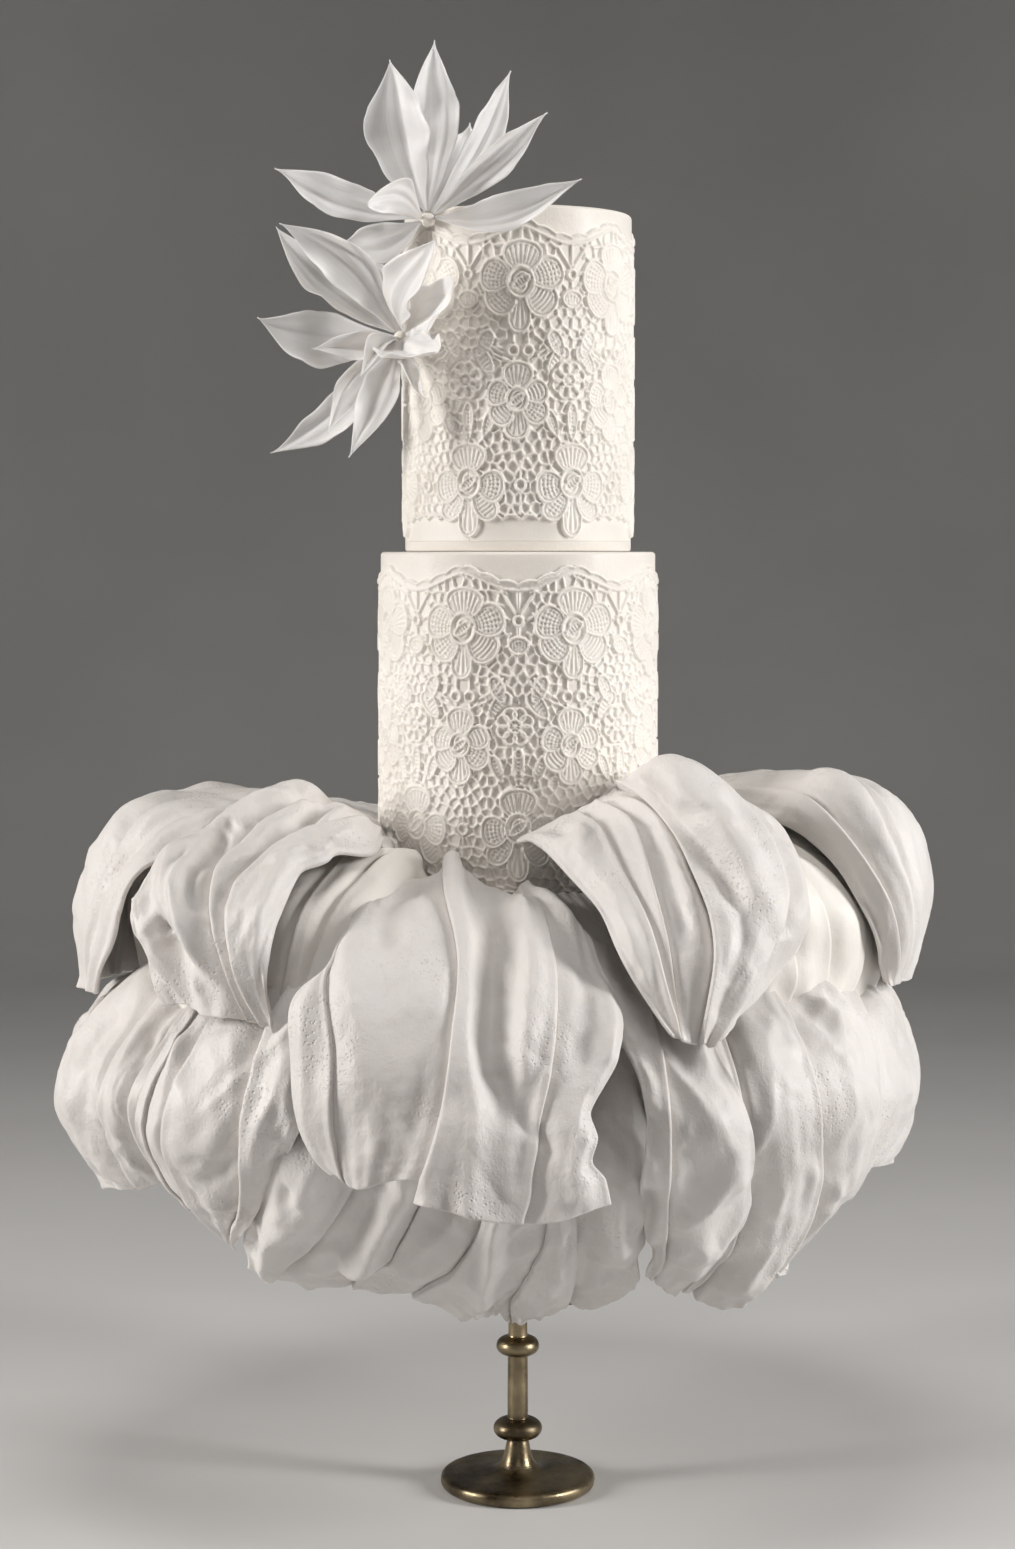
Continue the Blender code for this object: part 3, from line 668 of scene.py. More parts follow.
def base_sheet(ribs, along, across):
    """The ribs joined smoothly, first across and then along: points in mm for every share
    along and across, (r sin a, -r cos a, z) for a rib's (a, r, z)."""
    shares = sorted(ribs)
    knots = np.array([ribs[s] for s in shares], float)
    lines = np.swapaxes(through(shares, knots, across), 0, 1)
    grid = through(np.linspace(0, 1, knots.shape[1]), lines, along)
    azimuth = np.radians(grid[..., 0])
    x = grid[..., 1] * np.sin(azimuth)
    y = -grid[..., 1] * np.cos(azimuth)
    return np.stack([x, y, grid[..., 2]], axis=2)


def unit(vectors):
    """Vectors divided by their lengths."""
    return vectors / np.maximum(np.linalg.norm(vectors, axis=-1, keepdims=True), 1e-9)


def seam_lines(seams, along):
    """Every seam as a share across for each share along. A seam is one share across, or
    several that are equally spaced from the wall to the hem."""
    lines = []
    for seam in seams:
        values = np.atleast_1d(seam).astype(float)
        if len(values) == 1:
            values = np.repeat(values, 2)
        stations = np.linspace(0, 1, len(values))
        lines.append(through(stations, values[:, None], along)[:, 0])
    return np.stack(lines, axis=1)


def gored_stations(lines, width, cell):
    """The columns of the grid: the gore each one belongs to and its share across that gore,
    about one cell apart, and closer beside each seam and at the two edges."""
    gore, share = [], []
    widest = np.diff(lines, axis=1).max(axis=0) * width
    for k, wide in enumerate(widest):
        first = EDGE_STEPS if k == 0 else EDGE_STEPS[1:]
        final = EDGE_STEPS[::-1] if k == len(widest) - 1 else EDGE_STEPS[:0:-1]
        inner = np.linspace(EDGE_CLEAR, wide - EDGE_CLEAR, max(int(wide / cell), 4))
        share.append(np.concatenate([first, inner, wide - np.array(final)]) / wide)
        gore.append(np.full(len(share[-1]), k))
    return np.concatenate(gore), np.concatenate(share)


def fold_relief(points, normals, chart, fold):
    """One fold: height times exp(-(d / width)^2), where d is the distance from the fold's
    line on the chart, the sheet's smooth form, and width differs on its two sides. It fades
    over the first and last three tenths of its line, but not at an end that is full."""
    line, height, left, right, full = (*fold, "")[:5]
    knots = np.array(line, float) / 100
    fine = through(np.linspace(0, 1, len(line)), knots, np.linspace(0, 1, 26))
    place_on = np.clip(fine, 0, 1) * (np.array(chart.shape[:2]) - 1)
    i0, j0 = np.minimum(place_on.astype(int), np.array(chart.shape[:2]) - 2).T
    p, q = (place_on - np.stack([i0, j0], axis=1)).T[..., None]
    near = (1 - p) * ((1 - q) * chart[i0, j0] + q * chart[i0, j0 + 1])
    path = near + p * ((1 - q) * chart[i0 + 1, j0] + q * chart[i0 + 1, j0 + 1])
    start, step = path[:-1], np.diff(path, axis=0)
    reach = points.reshape(-1, 1, 3) - start
    share = np.clip((reach * step).sum(2) / np.maximum((step**2).sum(1), 1e-9), 0, 1)
    away = reach - share[..., None] * step
    distance = np.linalg.norm(away, axis=2)
    best = distance.argmin(axis=1)
    row = np.arange(len(best))
    travel = (best + share[row, best]) / len(step)
    side = np.cross(normals.reshape(-1, 3), step[best])
    on_left = (side * away[row, best]).sum(1) < 0
    width = np.where(on_left, left, right)
    relief = height * np.exp(-((distance[row, best] / width) ** 2))
    if full not in ("start", "both"):
        relief = relief * smooth(travel / 0.3)
    if full not in ("end", "both"):
        relief = relief * smooth((1 - travel) / 0.3)
    return relief.reshape(points.shape[:2])


def gore_relief(plan, gore, u, gore_width, s):
    """The gores' swell, crown * width * sin(pi u)^0.85, and their laps: at a seam the upper
    gore's edge is raised by its lap, which falls off as (1 - u)^2.8 and ends in a small bead
    and a notch, and the lower gore sinks beside it. Also returns the tuck, how far each edge
    is drawn across the seam, so that the upper one hangs over the lower one."""
    start, end = plan.get("fade", (0.15, 0.25))
    swell = (start + (1 - start) * smooth(s / 0.2)) * (end + (1 - end) * smooth((1 - s) / 0.28))
    crown = plan.get("crown", 0.12) * np.minimum(gore_width, 50)
    relief = crown * np.clip(np.sin(np.pi * u), 0, 1) ** 0.85 * swell
    laps = np.array([0.0, *plan["laps"], 0.0])
    raised_left, sunk_right = np.maximum(laps[gore], 0), np.maximum(laps[gore + 1], 0)
    sunk_left, raised_right = np.maximum(-laps[gore], 0), np.maximum(-laps[gore + 1], 0)
    sides = (
        (raised_left, sunk_left, u * gore_width, -1.0),
        (raised_right, sunk_right, (1 - u) * gore_width, 1.0),
    )
    lap = raised_left * (1 - u) ** 2.8 + raised_right * u**2.8
    for raised, _, beside, _ in sides:
        lap = lap + 1.1 * np.minimum(raised, 1) * np.exp(-(((beside - 0.9) / 1.3) ** 2))
    for _, sunk, beside, _ in sides:
        lap = lap - sunk * (0.45 * np.exp(-beside / 5.0) + 0.3 * np.exp(-beside / 1.4))
    for raised, _, beside, _ in sides:
        lap = lap - 0.8 * np.minimum(raised, 1) * np.exp(-((beside / 0.5) ** 2))
    narrow = np.minimum(1, gore_width / 12)
    relief = relief + lap * narrow * smooth(s / 0.05) * (0.6 + 0.4 * smooth((1 - s) / 0.08))
    tuck = np.zeros_like(relief)
    for raised, sunk, beside, sign in sides:
        tuck = tuck + sign * 1.6 * np.minimum(raised / 2, 1) * np.exp(-((beside / 1.6) ** 2))
        tuck = tuck + sign * 1.4 * np.minimum(sunk / 2, 1) * np.exp(-((beside / 1.2) ** 2))
    return relief, tuck * narrow * smooth(s / 0.06) * smooth((1 - s) / 0.06)


def crumpled(relief, plan, base, a, b, stretched, gore_width, loose, s):
    """Adds the paste's own unevenness to a relief: broad and soft ripples; gathers, ripples
    drawn out down the sheet and stronger near its ends; wrinkles, ridges of the form
    1 - sqrt(ripples^2 + 0.02) / 0.9 that run slanted in two headings; creases, valleys along
    the lines where such ripples are zero; and in patches crumples, small facets with sharp
    ridges. All but the gathers are calmer where the sheet is not loose."""
    seed = plan["seed"]
    relief = relief + plan.get("broad", 1.8) * ripples(base, 85, seed) * loose
    relief = relief + plan.get("soft", 0.7) * ripples(base, 36, seed + 1) * loose
    streak = np.stack([stretched, b * 0.10], axis=2)
    ends_more = 0.45 + 0.55 * (smooth((0.35 - s) / 0.3) + smooth((s - 0.6) / 0.35))
    gather = plan.get("gather", 0.8) * ripples(streak, 17, seed + 11) * ends_more
    relief = relief + gather * np.minimum(1, gore_width / 14)
    slant, wrinkle = plan.get("wrinkle", (25, 1.1))
    for number, angle in enumerate((slant, -0.7 * slant)):
        t = math.radians(angle)
        aside, onward = a * math.cos(t) + b * math.sin(t), b * math.cos(t) - a * math.sin(t)
        slanted = np.stack([aside, onward / 3.0], axis=2)
        ridge = 1 - np.sqrt(ripples(slanted, 34, seed + 2 + 20 * number) ** 2 + 0.02) / 0.9
        patch = smooth((ripples(base, 75, seed + 3 + 20 * number) + 0.8) / 1.6)
        relief = relief + wrinkle * 1.6 * ridge * patch * loose
    crease = np.exp(-((ripples(slanted, 34, seed + 4) / 0.30) ** 2))
    patch = smooth((ripples(base, 60, seed + 5) - 0.1) / 1.2)
    relief = relief - plan.get("crease", 0.8) * crease * patch * loose
    relief = relief + 0.10 * ripples(base, 9, seed + 6) * loose
    facet = 1 - np.sqrt(ripples(base, 19, seed + 13) ** 2 + 0.01) / 0.9
    patch = smooth((ripples(base, 52, seed + 14) - 0.1) / 1.3)
    return relief + plan.get("crumple", 0.7) * facet * patch * loose


def waved_edges(points, plan, tangents, edges, a, b, wide, across, s):
    """Moves the free edges, and less what lies beside them, as exp(-d / reach): the sides
    and the hem wave in and out, in the sheet and across it, and each edge that the plan
    shapes goes inwards by the list's mm (3u^2 - 2u^3 between them)."""
    seed = plan["seed"]
    down, over, normal = tangents
    left_edge, right_edge, hem_edge = edges
    edge_line = np.stack([b, a * 0.02], axis=2)
    sway = ripples(edge_line, 75, seed + 7)
    wave = ripples(edge_line, 52, seed + 8)
    for distance, sign in ((left_edge, 1.0), (right_edge, -1.0)):
        hold = np.exp(-distance / 12.0) * smooth(s / 0.12)
        points = points + over * (sign * 1.1 * (1 + sway) * hold)[..., None]
        points = points + normal * (plan.get("edge_wave", 1.8) * wave * hold)[..., None]
    hem_line = np.stack([a, b * 0.02], axis=2)
    hold = np.exp(-hem_edge / 10.0) * np.minimum(1, wide / 60)
    points = points - down * (0.9 * (1 + ripples(hem_line, 48, seed + 9)) * hold)[..., None]
    points = points + normal * (1.4 * ripples(hem_line, 34, seed + 10) * hold)[..., None]
    for key, distance, inwards in (
        ("left", left_edge, over), ("right", right_edge, -over), ("hem", hem_edge, -down)
    ):
        if key in plan:
            stations, shifts = np.array(plan[key], float).T
            where = across if key == "hem" else np.broadcast_to(s, a.shape)
            shift = eased(stations, shifts, where)
            points = points + inwards * (shift * np.exp(-distance / 22.0))[..., None]
    return points


def pleated_sheet(plan, cell=SHEET_CELL):
    """One sheet of the skirt. Its ribs are joined smoothly and its top line goes up by the
    rise list times exp(-(s / 0.24)^2), s = share along. The gores, the unevenness, the folds
    and a small bead along each side are added along the normal; then the free edges wave.
    Returns the middle surface, its normals and each point's distance from the edge."""
    chart = base_sheet(plan["ribs"], np.linspace(0, 1, 101), np.linspace(0, 1, 101))
    width = np.linalg.norm(np.diff(chart, axis=1), axis=2).sum(axis=1).max()
    length = np.linalg.norm(np.diff(chart, axis=0), axis=2).sum(axis=0).mean()
    ends = np.array(EDGE_STEPS) / length
    inner = np.linspace(EDGE_CLEAR / length, 1 - EDGE_CLEAR / length, int(length / cell))
    along = np.concatenate([ends, inner, 1 - ends[::-1]])
    s = along[:, None]
    seams = seam_lines(plan["seams"], along)
    gore, u = gored_stations(seams, width, cell)
    gore_share = seams[:, gore + 1] - seams[:, gore]
    across = seams[:, gore] + u * gore_share
    ribbed = base_sheet(plan["ribs"], along, np.linspace(0, 1, 401))
    j0 = np.clip((across * 400).astype(int), 0, 399)
    q = (across * 400 - j0)[..., None]
    row = np.arange(len(along))[:, None]
    base = (1 - q) * ribbed[row, j0] + q * ribbed[row, j0 + 1]
    if "rise" in plan:
        stations, upwards = np.array(plan["rise"], float).T
        lift = through(stations, upwards[:, None], across.ravel()).reshape(across.shape)
        base = base + (lift * np.exp(-((s / 0.24) ** 2)))[..., None] * np.array([0.0, 0.0, 1.0])
    down = unit(np.gradient(base, axis=0))
    over = unit(np.gradient(base, axis=1))
    normal = unit(np.cross(down, over))

    # Distances in mm over the surface: a from the middle line, b from the cake's wall.
    steps = np.linalg.norm(np.diff(base, axis=1), axis=2)
    a = np.pad(np.cumsum(steps, axis=1), ((0, 0), (1, 0)))
    wide = a[:, -1:]
    a = a - wide / 2
    steps = np.linalg.norm(np.diff(base, axis=0), axis=2)
    b = np.pad(np.cumsum(steps, axis=0), ((1, 0), (0, 0)))
    left_edge, right_edge, hem_edge = a + wide / 2, wide / 2 - a, b[-1:] - b
    gore_width = wide * gore_share

    relief, tuck = gore_relief(plan, gore, u, gore_width, s)
    loose = smooth(s / 0.15) * np.minimum(1, wide / (0.55 * width))
    from_seam = np.minimum(u * gore_width, (1 - u) * gore_width)
    loose = loose * (0.4 + 0.6 * smooth(from_seam / 12))
    relief = crumpled(relief, plan, base, a, b, across * width, gore_width, loose, s)
    for fold in plan.get("folds", ()):
        relief = relief + fold_relief(base, normal, chart, fold)
    side_edge = np.minimum(left_edge, right_edge)
    bead = np.exp(-(((side_edge - 1.0) / 1.1) ** 2))
    bead = bead - 0.7 * np.exp(-(((side_edge - 4.0) / 1.5) ** 2))
    relief = relief + 0.55 * bead * smooth(s / 0.1)
    points = base + normal * relief[..., None] + over * tuck[..., None]
    points = waved_edges(
        points, plan, (down, over, normal), (left_edge, right_edge, hem_edge), a, b, wide,
        across, s,
    )
    return points, normal, np.minimum(side_edge, np.minimum(hem_edge, b))


def closed_sheet(points, normal, from_edge, thickness):
    """Points (m) and quads of a closed sheet: the surface moved out and in by half the
    thickness times sqrt(1 - (1 - d)^2), d = distance from the edge over RIM, 1 at most, so
    that its rim is round."""
    rows, columns = points.shape[:2]
    round_rim = np.sqrt(1 - (1 - np.clip(from_edge / RIM, 0, 1)) ** 2)
    half = (thickness / 2 * round_rim)[..., None]
    outer = points + normal * half
    inner = (points - normal * half)[1:-1, 1:-1]
    number = np.arange(rows * columns).reshape(rows, columns)
    back = number.copy()
    back[1:-1, 1:-1] = rows * columns + np.arange(inner[..., 0].size).reshape(inner.shape[:2])
    front_faces = np.stack(
        [number[:-1, :-1], number[1:, :-1], number[1:, 1:], number[:-1, 1:]], axis=2
    ).reshape(-1, 4)
    back_faces = np.stack(
        [back[:-1, :-1], back[:-1, 1:], back[1:, 1:], back[1:, :-1]], axis=2
    ).reshape(-1, 4)
    merged = np.vstack([outer.reshape(-1, 3), inner.reshape(-1, 3)]) * 0.001
    return merged, [front_faces, back_faces]


# Each sheet has a plan. Along is from the cake's wall over the crown to the hem, across is
# from left to right, both as shares of the sheet unless said otherwise:
#   ribs: {share across: [(degrees from the front, radius, height) along it]}
#   seams: the gores' edges as shares across, or several shares down the seam; laps: how far
#     the gore on the right (+) or on the left (-) of each inner seam lies over the other
#   fade: how much of the gores' swell is left at the wall and at the hem; crown: its height
#     as a share of the gore's width; seed: start of the random draws
#   broad, soft, gather, crease, crumple, edge_wave: heights of these forms, in mm; wrinkle:
#     its slant in degrees and its height
#   rise: how far the top line goes up; left, right, hem: how far that edge goes inwards, as
#     (share along or across, mm)
#   folds: (line in percent along and across, height, width on the left and on the right of
#     a line that runs down, and the end or ends that stay full)

# The upper row: a cape down the front, two big puffs on each side and three at the back.
UPPER_SHEETS = {
    "cape_front": {
        "seams": [0.0, (0.05, 0.06, 0.18, 0.15), (0.53, 0.51, 0.49, 0.49), (0.80, 0.73, 0.70, 0.71),
                  1.0],
        "laps": [-1.8, 2.6, -2.2],
        "seed": 11, "fade": (0.1, 0.8), "wrinkle": (10, 0.35), "broad": 1.2, "gather": 0.5,
        "crumple": 0.4,
        "rise": [(0, -14), (0.25, -18), (0.4, -15), (0.47, -9), (0.51, -3), (0.53, 1), (0.56, -6),
                 (0.62, -17), (0.68, -22), (0.74, -20), (0.82, -9), (0.87, -8), (0.95, -15),
                 (1, -18)],
        "left": [(0, 0), (0.6, 0), (0.85, -7), (1, -13)],
        "right": [(0, 0), (0.55, 0), (0.67, 2), (0.76, 5), (0.83, 1), (0.885, 4), (0.94, -1),
                  (1, -1)],
        "hem": [(0, 3), (0.1, 6), (0.46, 13), (0.488, 12), (0.495, 0), (0.7, -2), (1, 2)],
        "folds": [
            ([(3, 53), (30, 53), (54, 52.5), (70, 54.5), (98, 60)], 2.6, 4, 6, "both"),
            ([(10, 60), (32, 60), (45, 57.5), (60, 57), (72, 61), (82, 63)], -16.0, 10, 12),
            ([(4, 55), (14, 56), (28, 60), (40, 63), (50, 62)], -3.0, 3, 5, "start"),
            ([(10, 71), (22, 69), (41, 66.5), (56, 64.5), (72, 65)], 6.5, 6, 10),
            ([(70, 52), (80, 50), (90, 50), (100, 52)], 4.5, 3, 11, "end"),
            ([(50, 68), (64, 67), (80, 67), (95, 68)], -3.0, 6, 4),
            ([(20, 88), (40, 86), (56, 80), (72, 79)], -5.0, 8, 9),
            ([(40, 95), (59, 94), (74, 90), (95, 87)], 4.5, 7, 6, "end"),
            ([(66, 100), (63, 93), (56, 88)], 2.5, 5, 6, "start"),
            ([(77, 100), (75, 94), (70, 90)], -3.0, 6, 6, "start"),
            ([(84, 100), (83, 94), (80, 90)], 2.5, 5, 5, "start"),
            ([(89, 100), (89, 95), (88, 90)], -2.0, 4, 4, "start"),
            ([(20, 33), (33, 32), (45, 33)], -4.0, 12, 14),
            ([(45, 34), (72, 35), (95, 37)], -4.0, 22, 18, "end"),
            ([(4, 50), (16, 42), (30, 30), (40, 20)], -3.0, 9, 9, "start"),
            ([(5, 30), (30, 22), (60, 24), (90, 22)], 3.0, 10, 12),
            ([(40, 10), (60, 8), (80, 7), (95, 5)], 2.5, 4, 5),
            ([(72, 62), (80, 70), (86, 80)], -1.8, 4, 5),
            ([(55, 56), (62, 66), (66, 74)], -1.4, 3, 4),
        ],
        "ribs": {
            0.0: [(-45, WALL, 382), (-40, 122, 372), (-30, 200, 348), (-31, 235, 320),
                  (-27, 244, 266), (-21, 249, 230)],
            0.18: [(-38, WALL, 386), (-33, 122, 379), (-27, 203, 351), (-24, 237, 315),
                   (-22.5, 247, 268), (-19, 250, 226)],
            0.50: [(-28, WALL, 392), (-20, 122, 384), (-10, 192, 353), (-8, 234, 310),
                   (-9, 246, 266), (-12, 250, 226)],
            0.72: [(-4, WALL, 388), (2, 122, 378), (5, 192, 347), (5, 231, 307), (3, 244, 264),
                   (1, 250, 219)],
            1.0: [(8, WALL, 382), (12, 128, 368), (15, 188, 337), (14, 224, 309), (10, 240, 268),
                  (11, 249, 226)],
        },
    },
    "puff_right_front": {
        "seams": [0.0, (0.3, 0.21, 0.19, 0.14), (0.4, 0.32, 0.25, 0.18), (0.62, 0.48, 0.44, 0.41),
                  (0.84, 0.82, 0.8, 0.72), 1.0],
        "laps": [-2.6, -4.2, 5.5, -5.0],
        "seed": 21, "wrinkle": (22, 0.5), "gather": 0.3,
        "folds": [
            ([(10, 46), (20, 45.5), (40, 41), (58, 40), (75, 36)], 3.5, 5, 4),
            ([(15, 44), (30, 38.5), (45, 36), (65, 33), (85, 25)], -4.0, 5, 6),
            ([(16, 62), (29, 56), (44, 54.5), (62, 55), (72, 56)], -7.0, 5, 9),
            ([(25, 70), (42, 64), (62, 65), (82, 62)], 5.5, 8, 11),
            ([(40, 76), (55, 74), (75, 74)], -3.5, 5, 6),
            ([(12, 62), (20, 60), (28, 55.5)], -3.0, 3, 3),
            ([(62, 47), (72, 50), (85, 50)], 2.5, 4, 5),
            ([(66, 60), (78, 56), (92, 53)], -3.0, 4, 5, "end"),
            ([(6, 16), (14, 14), (24, 11)], -3.0, 5, 6),
            ([(10, 24), (25, 16), (40, 12)], 2.4, 6, 6),
            ([(30, 5), (50, 6), (70, 6)], -2.0, 5, 4),
            ([(45, 12), (60, 12), (80, 9)], 2.2, 5, 5),
            ([(30, 90), (50, 90), (70, 87), (90, 85)], 3.0, 6, 6),
            ([(50, 68), (56, 72), (60, 78)], -2.0, 4, 4),
            ([(34, 58), (42, 62), (46, 70)], -2.0, 4, 5),
        ],
        "ribs": {
            0.0: [(-1, WALL, 400), (8, 120, 396), (12, 157, 381), (15, 200, 353), (19, 231, 311)],
            0.45: [(32, WALL, 422), (31, 145, 418), (29, 192, 392), (28, 224, 355),
                   (24.5, 233, 306)],
            0.80: [(52, WALL, 428), (38, 147, 443), (40.5, 192, 417), (39, 222, 372),
                   (27, 233, 307)],
            1.0: [(74, WALL, 414), (55, 150, 422), (52, 188, 404), (49, 208, 372), (34, 226, 324)],
        },
    },
    "puff_right_back": {
        "seams": [0.0, (0.2, 0.17, 0.15, 0.12), (0.46, 0.42, 0.36, 0.3), (0.66, 0.62, 0.58, 0.52),
                  0.80, 1.0],
        "laps": [-6.0, -6.0, -2.5, -1.6],
        "seed": 31, "wrinkle": (20, 0.4), "crown": 0.10, "edge_wave": 0.9, "gather": 0.3,
        "folds": [
            ([(10, 28), (30, 26), (50, 24), (70, 24)], -2.5, 6, 8),
            ([(4, 46), (30, 40), (50, 36.5), (75, 31), (97, 27)], -3.6, 2.4, 2.4),
            ([(10, 42), (30, 36), (50, 32), (75, 27), (95, 23)], 2.4, 9, 5),
            ([(10, 9), (30, 8), (50, 7), (70, 6), (90, 6)], -2.4, 5, 6),
            ([(30, 34), (50, 31), (80, 27)], 2.5, 7, 6),
            ([(20, 55), (45, 50), (70, 46), (90, 42)], -2.5, 6, 8),
            ([(60, 4), (80, 5), (98, 6)], -2.0, 3, 4, "end"),
        ],
        "ribs": {
            0.0: [(79, WALL, 402), (68, 148, 412), (61, 194, 394), (60, 224, 356), (66, 226, 320)],
            0.16: [(84, WALL, 407), (71, 150, 422), (61, 202, 412), (62, 232, 366), (67, 227, 319)],
            0.38: [(92, WALL, 411), (78, 152, 428), (67, 214, 421), (68, 239, 372), (72, 228, 319)],
            0.60: [(101, WALL, 413), (92, 154, 429), (84, 217, 417), (84, 240, 372),
                   (84, 229, 317)],
            0.80: [(112, WALL, 410), (109, 152, 424), (107, 206, 409), (107, 231, 366),
                   (103, 224, 323)],
            1.0: [(124, WALL, 402), (130, 146, 414), (134, 194, 397), (134, 211, 364),
                  (129, 209, 338)],
        },
    },
    "puff_left_front": {
        "seams": [0.0, (0.1, 0.13, 0.2, 0.32), (0.72, 0.58, 0.59, 0.8), (0.86, 0.82, 0.67, 0.88),
                  1.0],
        "laps": [6.5, 6.5, 4.5],
        "seed": 41, "wrinkle": (30, 1.2), "crown": 0.16, "gather": 0.4, "crumple": 2.0,
        "right": [(0, 0), (0.2, -4), (0.31, -11), (0.42, 4), (0.52, 15), (0.65, 13), (0.8, 12),
                  (1, 4)],
        "folds": [
            ([(0, 30), (25, 33), (45, 40), (65, 45)], -9.0, 45, 45, "start"),
            ([(30, 16), (50, 20), (63, 22), (73, 28), (82, 33), (92, 34)], 2.6, 4, 5),
            ([(55, 24), (66, 30), (76, 36), (83, 45), (92, 53)], -14.0, 8, 9),
            ([(52, 34), (60, 40), (68, 42), (80, 50)], -5.0, 4, 4),
            ([(50, 40), (58, 47), (68, 50), (76, 54)], -6.5, 4, 6),
            ([(42, 38), (50, 46), (60, 53)], -5.0, 5, 6),
            ([(60, 44), (70, 48), (80, 53), (92, 62)], 5.5, 4, 4),
            ([(50, 50), (60, 55), (75, 57)], -3.0, 3, 4),
            ([(12, 30), (30, 34), (50, 40)], 3.0, 10, 8),
            ([(5, 42), (20, 50), (34, 53)], -2.5, 6, 5),
            ([(30, 24), (42, 28), (54, 30)], -2.0, 5, 5),
            ([(22, 60), (30, 63), (40, 65), (50, 66)], 3.0, 4, 4),
            ([(16, 66), (24, 67), (34, 71), (46, 72)], -8.0, 4, 5),
            ([(16, 74), (27, 76), (38, 78)], 4.5, 4, 4),
            ([(10, 90), (30, 91), (49, 86), (76, 86), (95, 88)], 3.5, 6, 8),
            ([(50, 96), (68, 93), (80, 93), (95, 97)], -2.2, 2, 2.5, "end"),
            ([(4, 88), (14, 93), (22, 98)], -3.5, 5, 6),
        ],
        "ribs": {
            0.0: [(-88, WALL, 406), (-68, 145, 422), (-60, 218, 399), (-59, 250, 361),
                  (-54, 236, 316)],
            0.34: [(-74, WALL, 410), (-60.5, 150, 431), (-57, 211, 406), (-55, 245, 368),
                   (-49, 233, 316)],
            0.62: [(-62, WALL, 406), (-52, 150, 423), (-47, 203, 397), (-44, 234, 360),
                   (-43, 231, 313)],
            0.83: [(-54, WALL, 396), (-43, 138, 416), (-40.5, 189, 398), (-38, 224, 356),
                   (-38.5, 228, 309)],
            1.0: [(-47, WALL, 384), (-39, 126, 403), (-35, 189, 382), (-34, 223, 344),
                  (-35, 227, 303)],
        },
    },
    "puff_left_back": {
        "seams": [0.0, (0.24, 0.22, 0.24, 0.3), (0.5, 0.44, 0.5, 0.56), (0.7, 0.68, 0.74, 0.78),
                  0.88, 1.0],
        "laps": [2.4, 3.6, 3.6, 2.4],
        "seed": 51, "wrinkle": (18, 0.7),
        "folds": [
            ([(20, 56), (45, 60), (70, 66)], 3.0, 5, 7),
            ([(30, 80), (50, 80), (75, 82)], -3.0, 5, 6),
            ([(15, 70), (40, 74), (60, 76)], 2.0, 4, 5),
        ],
        "ribs": {
            0.0: [(-120, WALL, 394), (-123, 146, 403), (-122, 206, 396), (-119, 236, 360),
                  (-112, 240, 308)],
            0.5: [(-107, WALL, 400), (-98, 155, 416), (-91, 222, 410), (-90, 250, 366),
                  (-91, 253, 303)],
            1.0: [(-95, WALL, 398), (-77, 150, 411), (-70, 202, 398), (-73, 236, 362),
                  (-79, 252, 306)],
        },
    },
}
BACK_PUFF = {
    "seams": [0.0, 0.22, 0.45, 0.72, 1.0],
    "laps": [1.8, 1.8, -1.8],
    "seed": 61,
    "ribs": {
        0.0: [(-15, WALL, 386), (-15.5, 146, 393), (-15.5, 204, 382), (-15.5, 232, 352),
              (-12, 226, 312)],
        0.55: [(1, WALL, 390), (1, 152, 401), (0, 212, 392), (0, 244, 356), (0, 228, 312)],
        1.0: [(15, WALL, 385), (15.5, 146, 391), (15.5, 202, 379), (15.5, 230, 348),
              (12, 226, 310)],
    },
}
BACK_PUFF_PLACES = {"puff_back_right": 153.5, "puff_back": 187.0, "puff_back_left": 220.5}

